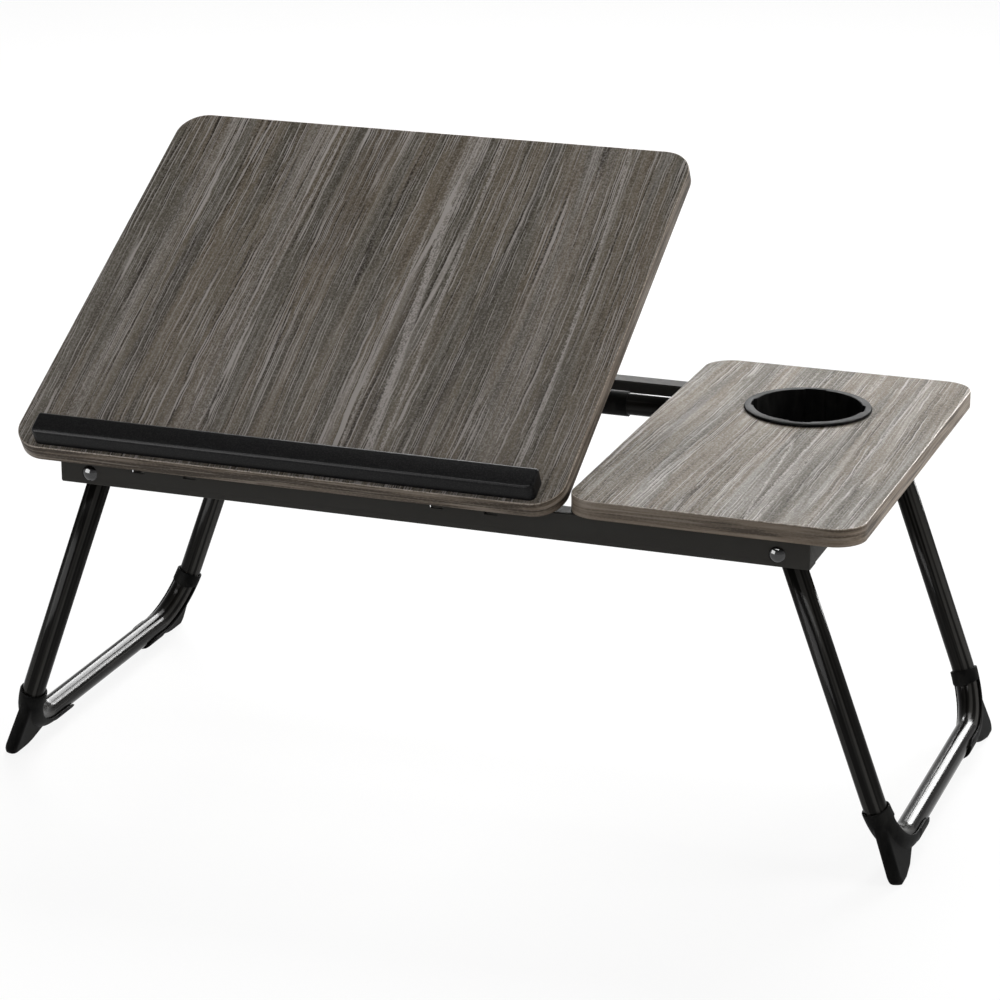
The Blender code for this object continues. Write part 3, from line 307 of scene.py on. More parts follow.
def oak_foil(name, colours, place, turn, figures, shift, depth, lift):
    """Oak decor foil, printed and embossed, on fibreboard. It gives long wobbly pores, each pale with a
    painted shadow of its emboss at one side, gathered in clusters; a fine speckle; slow warm and green-grey
    areas; a few rings; and a satin surface that goes pale at a low angle. The finest pores are drawn 1 mm
    wide, or they wouldn't show.
    depth is the strength of the pores, and lift pales the front of the board as painted light, where the
    back softbox reaches less."""
    material, shader, here = new_material(name)
    local = in_board(here, place, turn)
    sway = stretched_noise(local, 0.11, 0.40, 1.0, 0.0, 0.4, shift)
    sway = add_node("MapRange", sway, 0.2, 0.8, -GRAIN_SWAY, GRAIN_SWAY, **SMOOTH)[0]
    wobble = stretched_noise(local, 0.020, 0.019, 1.0, 0.0, 0.4, shift + 1.7)
    wobble = add_node("MapRange", wobble, 0.2, 0.8, -GRAIN_WOBBLE, GRAIN_WOBBLE, **SMOOTH)[0]
    side, run, height = add_node("SeparateXYZ", local)
    across = chained("ADD", side, sway, wobble)
    flow = add_node("CombineXYZ", across, run, height)[0]

    def drawn(width, length, detail, roughness, seed):
        return stretched_noise(flow, width, length, 1.0, detail, roughness, shift + seed)

    areas = drawn(0.024, 0.40, 1.0, 0.5, 3.1)
    casts = drawn(0.017, 0.30, 1.0, 0.5, 5.9)
    streaks = drawn(0.0040, 0.22, 1.0, 0.6, 7.7)
    speckle = stretched_noise(local, 0.0012, 0.0017, 0.0017, 1.0, 0.5, shift + 29.5)
    cluster = add_node("MapRange", drawn(0.01, 0.14, 2.0, 0.6, 23.3), 0.4, 0.56, **SMOOTH)[0]
    thick = add_node("Math", cluster, 0.8, 0.2, operation="MULTIPLY_ADD")[0]
    drift = add_node("Math", drawn(0.0062, 0.45, 0.0, 0.6, 11.3), ROW_DRIFT, operation="MULTIPLY")[0]
    dark, light = [], []
    for spacing, half, length, low, high, shadow_aside, strength, seed in GRAIN_ROWS:
        there = add_node("MapRange", drawn(spacing, length, 1.0, 0.6, seed), low, high, **SMOOTH)[0]
        there = add_node("Math", there, thick, operation="MULTIPLY")[0]
        # The dark second line beside each pale pore is a painted shadow of its emboss
        for shares, move, level in ((light, 0.0, 1.0), (dark, shadow_aside, PORE_SHADOW)):
            line = grain_lines(across, drift, spacing, half, move)
            line = add_node("Math", line, there, operation="MULTIPLY")[0]
            shares.append((line, strength * depth * level))

    warm = add_node("MapRange", areas, 0.40, 0.60, **SMOOTH)[0]
    cool = add_node("MapRange", casts, 0.46, 0.60, **SMOOTH)[0]
    ground = add_node("Mix", warm, colours.foil_ground, colours.foil_warm, data_type="RGBA")[2]
    ground = add_node("Mix", cool, ground, colours.foil_cool, data_type="RGBA")[2]
    dark += [(add_node("MapRange", streaks, 0.5, 0.66, **SMOOTH)[0], 0.3),
             (add_node("MapRange", speckle, 0.5, 0.66, **SMOOTH)[0], 0.26)]
    # Pale streaks and speckle, and painted light that pales the board towards its front
    light += [(add_node("MapRange", streaks, 0.46, 0.3, **SMOOTH)[0], 0.2),
              (add_node("MapRange", speckle, 0.5, 0.34, **SMOOTH)[0], 0.24),
              (add_node("MapRange", run, 0.14, -0.14, **SMOOTH)[0], lift)]
    ragged = add_node("MapRange", speckle, *MOST_NOISE, -GRAIN_TEAR, GRAIN_TEAR, **SMOOTH)[0]
    broken = add_node("MapRange", speckle, 0.62, 0.42, 0.5, 1.0, **SMOOTH)[0]
    for start, lean, bow, width, strength, front, back in figures:
        line = add_node("Math", run, lean, start, operation="MULTIPLY_ADD")[0]
        curve = add_node("Math", run, run, operation="MULTIPLY")[0]
        middle = add_node("Math", curve, bow, line, operation="MULTIPLY_ADD")[0]
        middle = chained("ADD", middle, ragged, wobble)
        away = add_node("Math", side, middle, operation="SUBTRACT")[0]
        away = add_node("Math", away, operation="ABSOLUTE")[0]
        share = chained("MULTIPLY",
                        add_node("MapRange", away, width + GRAIN_TEAR, width * 0.55, **SMOOTH)[0], broken,
                        add_node("MapRange", run, front - FIGURE_FADE, front + FIGURE_FADE, **SMOOTH)[0],
                        add_node("MapRange", run, back + FIGURE_FADE, back - FIGURE_FADE, **SMOOTH)[0])
        (light if strength > 0 else dark).append((share, abs(strength)))
    colour = add_node("Mix", added(*dark), ground, colours.foil_dark, data_type="RGBA")[2]
    colour = add_node("Mix", added(*light), colour, colours.foil_pale, data_type="RGBA")[2]
    pits = add_node("Math", dark[0][0], 0.3, operation="MULTIPLY")[0]
    emboss = add_node("Math", streaks, pits, operation="SUBTRACT")[0]
    satin = add_node("MapRange", streaks, *MOST_NOISE, 0.60, 0.74, **SMOOTH)[0]
    plugged(shader, colour, satin, 0.05, (0.20, 0.0003, emboss))
    shader.inputs["IOR"].default_value = 1.47
    return material


def edge_band_finish(name, colours, place, turn, shift, painted_shade):
    """Plastic edge band, printed with thin dark lines that run along the edge. painted_shade darkens the
    band as painted shade, most on the tilting board whose band faces down, and below zero pales it as
    painted light.
    """
    material, shader, here = new_material(name)
    local = in_board(here, place, turn)
    layers = stretched_noise(local, 0.14, 0.14, 0.0036, 1.0, 0.5, shift)
    lines = stretched_noise(local, 0.055, 0.055, 0.0018, 1.0, 0.5, shift + 5.0)
    speckle = stretched_noise(local, 0.0022, 0.0022, 0.0011, 1.0, 0.5, shift + 7.0)
    tone = stretched_noise(local, 0.05, 0.05, 0.02, 2.0, 0.5, shift + 9.0)
    share = added((add_node("MapRange", layers, 0.46, 0.62, **SMOOTH)[0], 0.5),
                  (add_node("MapRange", lines, 0.52, 0.64, **SMOOTH)[0], 0.45),
                  (add_node("MapRange", speckle, 0.5, 0.7, **SMOOTH)[0], 0.16),
                  (add_node("MapRange", tone, 0.45, 0.65, **SMOOTH)[0], 0.18))
    # Painted shade: the tilting board's band is darkened as it faces down, the fixed board's is lightened
    share = add_node("Math", share, painted_shade, operation="ADD")[0]
    colour = add_node("Mix", share, colours.band_ground, colours.band_dark, data_type="RGBA")[2]
    pale = added((add_node("MapRange", lines, 0.46, 0.34, **SMOOTH)[0], 0.42),
                 (add_node("MapRange", speckle, 0.46, 0.3, **SMOOTH)[0], 0.14))
    colour = add_node("Mix", pale, colour, colours.band_pale, data_type="RGBA")[2]
    satin = add_node("MapRange", lines, *MOST_NOISE, 0.45, 0.58, **SMOOTH)[0]
    plugged(shader, colour, satin, 0.14, (0.10, 0.0002, lines))
    return material


def highlit_trimmed_edge_finish(name, colours):
    """Routed seam of foil and band: a thin pale line, nicked finely, with a few bright chips. The pale line
    is partly the bare edge and partly a painted highlight along the band's top rim, and the chips are
    painted glints.
    """
    material, shader, here = new_material(name)
    nicks = even_noise(here, 0.0016, 1.0, 0.5)
    wear_and_sheen = even_noise(here, 0.03, 2.0, 0.6, 3.0)
    chips_and_glints = add_node("MapRange", nicks, 0.40, 0.60, **SMOOTH)[0]
    wear_and_sheen = add_node("MapRange", wear_and_sheen, 0.35, 0.60, 0.35, 0.9, **SMOOTH)[0]
    share = add_node("Math", chips_and_glints, wear_and_sheen, operation="MULTIPLY")[0]
    # The pale colour is the bare edge together with a painted highlight and painted glints
    colour = add_node("Mix", share, colours.band_ground, colours.trimmed_edge_and_highlight, data_type="RGBA")[2]
    plugged(shader, colour, add_node("MapRange", nicks, *MOST_NOISE, 0.35, 0.6, **SMOOTH)[0], 0.25)
    return material


def pressed_steel_paint(name, colours):
    """Powder coat on pressed steel: dark, satin, with the coat's fine orange peel."""
    material, shader, here = new_material(name)
    peel = even_noise(here, 0.0012, 2.0)
    cast = stretched_noise(here, 0.09, 0.09, 0.03, 2.0, 0.5, 4.0)
    share = add_node("MapRange", cast, *MOST_NOISE, 0.0, 0.12, **SMOOTH)[0]
    colour = add_node("Mix", share, colours.rail_paint, colours.foil_dark, data_type="RGBA")[2]
    satin = add_node("MapRange", peel, *MOST_NOISE, 0.42, 0.52, **SMOOTH)[0]
    plugged(shader, colour, satin, 0.012, (0.12, 0.0002, peel))
    return material


def gloss_tube_paint(name, colours):
    """Gloss paint on drawn steel tube: black, with long bright reflections, and soft lighter lines that
    follow the tube round its bends, partly drawing marks and partly painted reflection streaks."""
    material, shader, here = new_material(name)
    along = add_node("Attribute", tree=shader.id_data, attribute_name=RUN_MARK)["Vector"]
    drawn = stretched_noise(along, 0.0032, 0.0032, 0.40, 1.0, 0.5)
    broad = stretched_noise(along, 0.0080, 0.0080, 0.60, 1.0, 0.5, 9.0)
    dust = even_noise(here, 0.02, 1.0, 0.5, 6.0)
    fine = add_node("MapRange", drawn, 0.44, 0.60, **SMOOTH)[0]
    broad = add_node("MapRange", broad, 0.40, 0.60, **SMOOTH)[0]
    # The lighter lines are partly drawing marks and partly painted reflection streaks along the tube
    lines = chained("MULTIPLY", fine, broad, 0.8)
    colour = add_node("Mix", lines, colours.tube_paint, colours.rail_paint, data_type="RGBA")[2]
    gloss = add_node("MapRange", dust, 0.35, 0.75, 0.15, 0.19, **SMOOTH)[0]
    plugged(shader, colour, gloss, 0.05, (0.03, 0.0003, drawn))
    return material


def moulded_nylon(name, colours):
    """Injection moulded nylon: deep black, satin, with the mould's fine spark texture."""
    material, shader, here = new_material(name)
    spark = even_noise(here, 0.0006, 2.0)
    flow = stretched_noise(here, 0.012, 0.012, 0.03, 3.0, 0.6, 2.0)
    share = add_node("MapRange", flow, 0.35, 0.75, 0.0, 0.25, **SMOOTH)[0]
    colour = add_node("Mix", share, colours.moulding, colours.rail_paint, data_type="RGBA")[2]
    satin = add_node("MapRange", flow, *MOST_NOISE, 0.44, 0.58, **SMOOTH)[0]
    plugged(shader, colour, satin, 0.016, (0.10, 0.0002, spark))
    return material


def textured_bar_black(name, colours):
    """Stop bar of rubber-coated ABS: satin black with a fine even texture, drawn coarse enough to show."""
    material, shader, here = new_material(name)
    grit = even_noise(here, 0.0010, 1.0)
    share = add_node("MapRange", grit, 0.4, 0.7, 0.0, 0.18, **SMOOTH)[0]
    colour = add_node("Mix", share, colours.bar_black, colours.rail_paint, data_type="RGBA")[2]
    satin = add_node("MapRange", grit, *MOST_NOISE, 0.30, 0.38, **SMOOTH)[0]
    plugged(shader, colour, satin, 0.10, (0.07, 0.0002, grit))
    return material


def gloss_rivet_black(name, colours):
    """Black enamelled steel rivet: deep gloss with one sharp reflection of the window box."""
    material, shader, here = new_material(name)
    dents = even_noise(here, 0.006, 1.0)
    share = add_node("MapRange", dents, 0.4, 0.8, 0.0, 0.2, **SMOOTH)[0]
    colour = add_node("Mix", share, colours.rivet_black, colours.rail_paint, data_type="RGBA")[2]
    plugged(shader, colour, add_node("MapRange", dents, *MOST_NOISE, 0.04, 0.09, **SMOOTH)[0], 0.7)
    return material


def zinc_plate(name, colours):
    """Dark passivated zinc on steel: cloudy metal with rolling lines."""
    material, shader, here = new_material(name)
    cloud = even_noise(here, 0.006, 3.0, 0.6)
    rolled = stretched_noise(here, 0.02, 0.0006, 0.0006, 2.0, 0.5, 3.0)
    share = add_node("MapRange", cloud, 0.35, 0.75, 0.0, 0.5, **SMOOTH)[0]
    colour = add_node("Mix", share, colours.zinc, colours.rail_paint, data_type="RGBA")[2]
    plugged(shader, colour, add_node("MapRange", rolled, *MOST_NOISE, 0.52, 0.66, **SMOOTH)[0], 0.5)
    shader.inputs["Metallic"].default_value = 1.0
    return material


def object_of(name, bm):
    """A new object in the scene with this mesh."""
    mesh = bpy.data.meshes.new(name)
    bm.to_mesh(mesh)
    bm.free()
    made = bpy.data.objects.new(name, mesh)
    bpy.context.scene.collection.objects.link(made)
    return made


def finished(name, bm, body, materials, nodes=(), place=None, sharp=35.0):
    """Sets a mesh in place and makes it a piece that rides on its body and stands for its nodes."""
    if place:
        bmesh.ops.transform(bm, matrix=place, verts=bm.verts)
    piece = object_of(name, bm)
    for material in materials:
        piece.data.materials.append(material)
    piece.data.shade_smooth()
    piece.data.set_sharp_from_angle(angle=math.radians(sharp))
    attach(piece, body)
    if nodes:
        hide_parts(*nodes)
    return piece


def dress(node, material):
    """Gives a CAD node that is shown as it is a better material."""
    mesh = frame["nodes"][node].data
    mesh.materials.clear()
    mesh.materials.append(material)


def whole(bm):
    """All of a mesh, for operators that want its geometry."""
    return bm.verts[:] + bm.edges[:] + bm.faces[:]


def outward(bm):
    """Turns all faces outwards."""
    bmesh.ops.recalc_face_normals(bm, faces=bm.faces)


def level(edge):
    """True if both ends of an edge are equally high."""
    return abs(edge.verts[0].co.z - edge.verts[1].co.z) < 1e-6


def only(kind, geometry):
    """The verts or edges among what an operator gives back."""
    return [part for part in geometry if isinstance(part, kind)]


def copied(node):
    """A CAD node's shape with its triangles merged into whole faces."""
    bm = bmesh.new()
    bm.from_mesh(frame["nodes"][node].data)
    bmesh.ops.remove_doubles(bm, verts=bm.verts, dist=2e-6)
    bmesh.ops.dissolve_limit(bm, angle_limit=math.radians(1.0), verts=bm.verts, edges=bm.edges)
    return bm


def rounded_edges(bm, edges, radius, segments=3):
    """Rounds these edges to a radius."""
    bmesh.ops.bevel(bm, geom=edges, offset=radius, offset_type="OFFSET", affect="EDGES", segments=segments,
                    profile=0.5, material=-1, clamp_overlap=True)


def sharp_edges(bm, angle=40.0):
    """Edges where a convex corner is sharper than this angle."""
    found = []
    for edge in bm.edges:
        if len(edge.link_faces) == 2 and edge.calc_face_angle() > math.radians(angle) and edge.is_convex:
            found.append(edge)
    return found


def softened(node, radius):
    """A CAD node's shape with its sharp edges broken."""
    bm = copied(node)
    rounded_edges(bm, sharp_edges(bm), radius, 2)
    return bm


def softened_piece(node, kind, radius, body, material):
    """A piece that is a CAD node's shape with its sharp edges broken."""
    finished(f"{node}_{kind}", softened(node, radius), body, [material], [node])


def carved(base, others, operation="DIFFERENCE"):
    """One bmesh cut by others, or joined to them."""
    body = object_of("worker", base)
    tools = [object_of("worker", other) for other in others]
    for tool in tools:
        step = body.modifiers.new("step", "BOOLEAN")
        step.operation = operation
        step.solver = "EXACT"
        step.object = tool
    result = worn(body)
    for tool in tools:
        drop(tool)
    return result


def worn(body):
    """The mesh that an object's modifiers leave, as a bmesh. The object is removed."""
    bpy.context.view_layer.update()
    result = bmesh.new()
    result.from_mesh(body.evaluated_get(bpy.context.evaluated_depsgraph_get()).to_mesh())
    drop(body)
    return result


def drop(made):
    """Removes an object with its mesh."""
    mesh = made.data
    bpy.data.objects.remove(made)
    bpy.data.meshes.remove(mesh)


def rounded_outline(bm, width, depth, radius, steps):
    """Adds a rectangle with round corners, centred on the origin, and returns its edges."""
    made = bmesh.ops.create_grid(bm, x_segments=1, y_segments=1, size=0.5)["verts"]
    bmesh.ops.scale(bm, vec=(width, depth, 1.0), verts=made)
    rounded = bmesh.ops.bevel(bm, geom=made, offset=radius, offset_type="OFFSET", affect="VERTICES",
                              segments=steps, profile=0.5, material=-1)
    face = max((f for v in rounded["verts"] for f in v.link_faces), key=lambda f: f.calc_area())
    edges = list(face.edges)
    bmesh.ops.delete(bm, geom=[face], context="FACES_ONLY")
    return edges


def tube_path(bm, edges, steps):
    """Carries a loop of edges through straight runs and bends, and returns the last loop."""
    for kind, *rest in steps:
        if kind == "run":
            made = bmesh.ops.extrude_edge_only(bm, edges=edges)["geom"]
            verts = only(bmesh.types.BMVert, made)
            bmesh.ops.translate(bm, verts=verts, vec=rest[0])
            edges = [e for e in only(bmesh.types.BMEdge, made) if all(v in verts for v in e.verts)]
        else:
            centre, axis, angle, count = rest
            verts = list(dict.fromkeys(v for e in edges for v in e.verts))
            made = bmesh.ops.spin(bm, geom=verts + edges, cent=centre, axis=axis, angle=angle, steps=count)
            edges = only(bmesh.types.BMEdge, made["geom_last"])
    return edges


def leg_rod(radius, start, end, closed=True):
    """A round bar along half a leg, measured from the rivet with the arm on the Z axis: from start below
    the rivet, round the bend and along +Y to end. start may lie inside the bend."""
    corner = LEG_LENGTH - LEG_BEND
    centre = Vector((0.0, LEG_BEND, -corner))
    entered = math.asin(max(start - corner, 0.0) / LEG_BEND)
    bm = bmesh.new()
    bmesh.ops.create_circle(bm, cap_ends=False, segments=TUBE_SIDES, radius=radius,
                            matrix=Matrix.Translation((0.0, 0.0, -min(start, corner))))
    bmesh.ops.rotate(bm, verts=bm.verts, cent=centre, matrix=Matrix.Rotation(entered, 3, "X"))
    first = list(bm.edges)
    runs = []
    if start < corner:
        runs.append(("run", Vector((0.0, 0.0, start - corner))))
    runs.append(("bend", centre, (1.0, 0.0, 0.0), QUARTER_TURN - entered, BEND_STEPS))
    runs.append(("run", Vector((0.0, end - LEG_BEND, 0.0))))
    last = tube_path(bm, first, runs)
    if closed:
        for loop in (first, last):
            bmesh.ops.edgeloop_fill(bm, edges=loop)
    bmesh.ops.remove_doubles(bm, verts=bm.verts, dist=1e-7)
    outward(bm)
    return bm


def marked(bm, measure):
    """Writes on each vertex where it is across and along its tube, as measure gives it."""
    layer = bm.verts.layers.float_vector.new(RUN_MARK)
    for vert in bm.verts:
        vert[layer] = measure(vert.co)


def leg_run(at):
    """Across and along a leg: the bend counts as a straight run."""
    corner = LEG_LENGTH - LEG_BEND
    y, z = ARM_HALF_SPREAD - abs(at.y), at.z
    if z > -corner:
        return at.x, y, z
    if y > LEG_BEND:
        return at.x, -(z + LEG_LENGTH), LEG_BEND - corner - LEG_BEND * QUARTER_TURN - y
    away = Vector((LEG_BEND - y, -corner - z))
    return at.x, LEG_BEND - away.length, -corner - LEG_BEND * math.atan2(away.y, away.x)


def walled(tube):
    """Gives a tube's skin its wall, inwards."""
    wall = tube.modifiers.new("wall", "SOLIDIFY")
    wall.thickness = TUBE_WALL
    wall.offset = -1.0


def block(low, high):
    """A box between two corners."""
    bm = bmesh.new()
    size, middle = Vector(high) - Vector(low), (Vector(high) + Vector(low)) / 2
    bmesh.ops.create_cube(bm, size=1.0, matrix=Matrix.Translation(middle) @ Matrix.Diagonal((*size, 1.0)))
    return bm


def extruded(points, shift):
    """A flat outline drawn through these points and pushed along shift."""
    bm = bmesh.new()
    face = bm.faces.new([bm.verts.new(p) for p in points])
    raised = bmesh.ops.extrude_face_region(bm, geom=[face])["geom"]
    bmesh.ops.translate(bm, verts=only(bmesh.types.BMVert, raised), vec=shift)
    outward(bm)
    return bm


def round_bar(start, end, radius):
    """A solid round bar between two points."""
    start, end = Vector(start), Vector(end)
    bm = bmesh.new()
    turn = (end - start).to_track_quat("Z", "Y").to_matrix().to_4x4()
    bmesh.ops.create_cone(bm, cap_ends=True, segments=TUBE_SIDES, radius1=radius, radius2=radius,
                          depth=(end - start).length, matrix=Matrix.Translation((start + end) / 2) @ turn)
    return bm


def turned(profile, steps):
    """Spins a profile of (radius, height) points about the Z axis. It closes on the axis or on itself."""
    bm = bmesh.new()
    points = [bm.verts.new((r, 0.0, h)) for r, h in profile]
    edges = [bm.edges.new(pair) for pair in zip(points, points[1:])]
    if profile[0][0] > 0 and profile[-1][0] > 0:
        edges.append(bm.edges.new((points[-1], points[0])))
    bmesh.ops.spin(bm, geom=points + edges, axis=(0, 0, 1), steps=steps, angle=WHOLE_TURN, use_merge=True)
    bmesh.ops.remove_doubles(bm, verts=bm.verts, dist=1e-6)
    outward(bm)
    return bm


# Figures of each board's print: start across, lean, bow, half width, strength (dark below zero), front, back
WIDE_FIGURES = (
    (0.0452, -0.0825, 0, 0.0034, 0.75, -0.18, 0.098),
    (0.031, -0.04, 0, 0.001, 0.55, -0.18, 0.088),
    (0.0365, 0, 0, 0.0095, 0.38, 0.092, 0.18),
    (0.0613, -0.032, 0, 0.0013, 0.7, -0.18, 0.18),
    (0.1625, -0.03, -0.15, 0.0013, 0.65, -0.18, 0.18),
    (0.134, 0, 0, 0.018, 0.16, -0.18, 0.18),
    (-0.07, 0.004, 0, 0.0008, 0.6, -0.18, 0.18),
    (-0.163, 0.02, 0, 0.005, 0.28, -0.18, 0.18),
    (-0.082, -0.02, 0, 0.012, 0.16, -0.18, 0.18),
    (0.039, -0.05, 0, 0.0045, -0.55, -0.18, 0.07),
    (0.094, 0.02, 0, 0.005, -0.45, -0.18, 0.18),
    (-0.141, 0.01, 0, 0.007, -0.42, -0.18, 0.06),
    (-0.045, 0.03, 0, 0.022, -0.3, 0.03, 0.18),
    (0.1607, 0, 0, 0.004, -0.45, -0.095, -0.062),
)
FIXED_FIGURES = (
    (0.0235, 0, 0, 0.0009, 0.65, -0.18, 0.04),
    (0.0315, 0, 0, 0.0009, 0.6, -0.18, 0.04),
    (0.0108, -0.0685, 0, 0.0008, 0.6, -0.165, -0.01),
    (0.067, 0.004, 0, 0.0007, 0.6, -0.18, 0.18),
    (0.0843, 0.075, 0, 0.0008, 0.55, -0.088, -0.03),
    (-0.0425, 0, 0, 0.0013, 0.5, 0.04, 0.18),
    (0.0325, 0, 0, 0.002, 0.4, 0.12, 0.18),
    (-0.076, 0, 0, 0.004, -0.5, -0.058, 0.075),
)

# How far up a band's face has to look to be foil, or else trimmed edge with its painted highlight
FOIL_FACES_UP = 0.98
TRIMMED_FACES_UP = 0.12

FIXED_MIDDLE = (BOARD_LOW + BOARD_HIGH) / 2

# Each board: node, width, place, tilt, figures, seed, strength of its pores, painted light that pales the
# front of its foil, and painted shade of its band
BOARDS = (
    ("fixed_top", FIXED_WIDTH, Matrix.Translation((FIXED_MIDDLE.x, FIXED_MIDDLE.y, BOARD_LOW.z)), 0.0,
     FIXED_FIGURES, 41.0, 0.62, 0.0, -0.10),
    ("tilting_top", WIDE_WIDTH,
     WIDE_PLACE @ Matrix.Translation((0.0, BOARD_DEPTH / 2 - HINGE_SETBACK, HINGE_BELOW)), TILT,
     WIDE_FIGURES, 12.0, 1.0, 0.10, 0.42),
)


class BEDTABLE_OT_boards(bpy.types.Operator):
    """Finishes the two boards in oak foil and fits their edge bands"""
    bl_idname = "bedtable.boards"
    bl_label = "Boards and Edge Bands"

    def execute(self, context):
        sizes, colours = settings(context)
        trimmed = highlit_trimmed_edge_finish("routed_edge_and_highlight", colours)
        for node, width, place, turn, figures, shift, depth, lift, painted_shade in BOARDS:
            origin = place.to_translation()
            foil = oak_foil(f"oak_foil_{node}", colours, origin, turn, figures, shift, depth, lift)
            strip = edge_band_finish(f"edge_band_{node}", colours, origin, turn, shift, painted_shade)
            dress(node, foil)
            finished(f"{node}_band_strip", self.band(width, sizes), frame["nodes"][node]["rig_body"],
                     [strip, foil, trimmed], [f"{node}_edge_band"], place, sharp=60.0)
        return {"FINISHED"}

    def band(self, width, sizes):
        """A strip round the board, with its trimmed edges rounded and its top ring as wide as the foil."""
        bm = bmesh.new()
        outer = rounded_outline(bm, width, BOARD_DEPTH, CORNER_RADIUS, CORNER_STEPS)
        inner = rounded_outline(bm, width - 2 * CORE_INSET, BOARD_DEPTH - 2 * CORE_INSET,
                                CORNER_RADIUS - CORE_INSET, CORE_CORNER_STEPS)
        bmesh.ops.triangle_fill(bm, use_beauty=True, edges=outer + inner)
        raised = bmesh.ops.extrude_face_region(bm, geom=bm.faces[:])["geom"]
        bmesh.ops.translate(bm, verts=only(bmesh.types.BMVert, raised), vec=(0, 0, sizes.board_thickness))
        outward(bm)
        rim = [e for e in bm.edges if len(e.link_faces) == 2 and e.is_convex
               and any(abs(f.normal.z) > 0.9 for f in e.link_faces)
               and any(abs(f.normal.z) < 0.1 for f in e.link_faces)
               and level(e) and self.outside(e, width)]
        rounded_edges(bm, rim, sizes.edge_rounding, 3)
        for face in bm.faces:
            if face.normal.z > FOIL_FACES_UP:
                face.material_index = 1
            elif face.normal.z > TRIMMED_FACES_UP:
                face.material_index = 2
        return bm

    def outside(self, edge, width):
        """True for edges of the outer outline, which lie further out than the core's."""
        middle = (edge.verts[0].co + edge.verts[1].co) / 2
        side = [f.normal for f in edge.link_faces if abs(f.normal.z) < 0.1][0]
        return side.dot(Vector((middle.x / width, middle.y / BOARD_DEPTH, 0.0))) > 0


class BEDTABLE_OT_stop_bar(bpy.types.Operator):
    """Builds the stop bar along the front of the wide top"""
    bl_idname = "bedtable.stop_bar"
    bl_label = "Stop Bar"

    def execute(self, context):
        sizes, colours = settings(context)
        upright = WIDE_PLACE.inverted()
        corners = [upright @ v.co for v in frame["nodes"]["stop_bar"].data.vertices]
        low, high = (Vector([pick(c[axis] for c in corners) for axis in range(3)]) for pick in (min, max))
        bm = block(low, high)
        front = [e for e in bm.edges if all(v.co.y < low.y + 1e-6 for v in e.verts) and not level(e)]
        rounded_edges(bm, front, sizes.bar_corner, 10)
        for vert in bm.verts:
            if vert.co.z > low.z + 1e-6:
                vert.co.z -= BAR_FALL * (high.y - vert.co.y) / (high.y - low.y)
        rims = [e for e in sharp_edges(bm, 45.0) if any(v.co.z > low.z + 1e-6 for v in e.verts)]
        rounded_edges(bm, rims, sizes.bar_rounding, 5)
        black = textured_bar_black("rubber_coated_bar", colours)
        finished("stop_bar_body", bm, "tilting_top", [black], ["stop_bar"], WIDE_PLACE, sharp=50.0)
        for number in (1, 2):
            dress(f"stop_bar_peg_{number}", black)
        return {"FINISHED"}


# Dark fillers in the front rail's web at both ends of each hinge notch, which close the see-through there
# as painted shade
SHADE_FILLER_GAP = 0.00006
SHADE_FILLER_REACH = 0.0011
SHADE_FILLER_DEPTH = 0.0012
SHADE_FILLER_HEIGHT = 0.0048
SHADE_FILLER_SET_IN = 0.00015


class BEDTABLE_OT_rails(bpy.types.Operator):
    """Builds the four pressed rails with round bends"""
    bl_idname = "bedtable.rails"
    bl_label = "Rails"

    def execute(self, context):
        sizes, colours = settings(context)
        paint = pressed_steel_paint("rail_powder_coat", colours)
        for node, axis in (("front_rail", 0), ("rear_rail", 0), ("left_end_rail", 1), ("right_end_rail", 1)):
            bm = copied(node)
            low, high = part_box(node)
            other = 1 - axis
            outer = low[other] if node in ("front_rail", "left_end_rail") else high[other]
            bends = [e for e in sharp_edges(bm)
                     if all(abs(v.co[other] - outer) < 1e-5 for v in e.verts) and level(e)
                     and min(abs(e.verts[0].co.z - low.z), abs(e.verts[0].co.z - high.z)) < 1e-5]
            rounded_edges(bm, bends, sizes.rail_rounding, 4)
            if node == "front_rail":
                self.shade_fillers(bm, low, high)
            finished(f"{node}_pressing", bm, "frame", [paint], [node], sharp=40.0)
        return {"FINISHED"}

    def shade_fillers(self, bm, rail_low, rail_high):
        """Fills the upper part of the clearance at both ends of the hinges' notches with dark rail, as
        painted shade where light would show through.
        """
        for side in ("left", "right"):
            low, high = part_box(f"{side}_hinge_frame_leaf")
            for end, way in ((low.x, -1), (high.x, 1)):
                near, far = end + way * SHADE_FILLER_GAP, end + way * SHADE_FILLER_REACH
                size = Vector((abs(far - near), SHADE_FILLER_DEPTH, SHADE_FILLER_HEIGHT))
                middle = Vector(((near + far) / 2, rail_low.y + SHADE_FILLER_SET_IN + SHADE_FILLER_DEPTH / 2,
                                 rail_high.z - SHADE_FILLER_SET_IN - SHADE_FILLER_HEIGHT / 2))
                bmesh.ops.create_cube(bm, size=1.0,
                                      matrix=Matrix.Translation(middle) @ Matrix.Diagonal((*size, 1.0)))


class BEDTABLE_OT_legs(bpy.types.Operator):
    """Bends the two leg tubes"""
    bl_idname = "bedtable.legs"
    bl_label = "Leg Tubes"

    def execute(self, context):
        sizes, colours = settings(context)
        paint = gloss_tube_paint("tube_gloss_paint", colours)
        for side in ("left", "right"):
            bm = leg_rod(sizes.tube_radius, -LEG_TOP, ARM_HALF_SPREAD, closed=False)
            bmesh.ops.translate(bm, verts=bm.verts, vec=(0, -ARM_HALF_SPREAD, 0))
            bmesh.ops.mirror(bm, geom=whole(bm), axis="Y", merge_dist=1e-5)
            bmesh.ops.remove_doubles(bm, verts=bm.verts, dist=1e-5)
            outward(bm)
            marked(bm, leg_run)
            walled(finished(f"{side}_leg_bent_tube", bm, f"{side}_leg", [paint], [f"{side}_leg_tube"],
                            LEG_PLACE[side]))
        return {"FINISHED"}


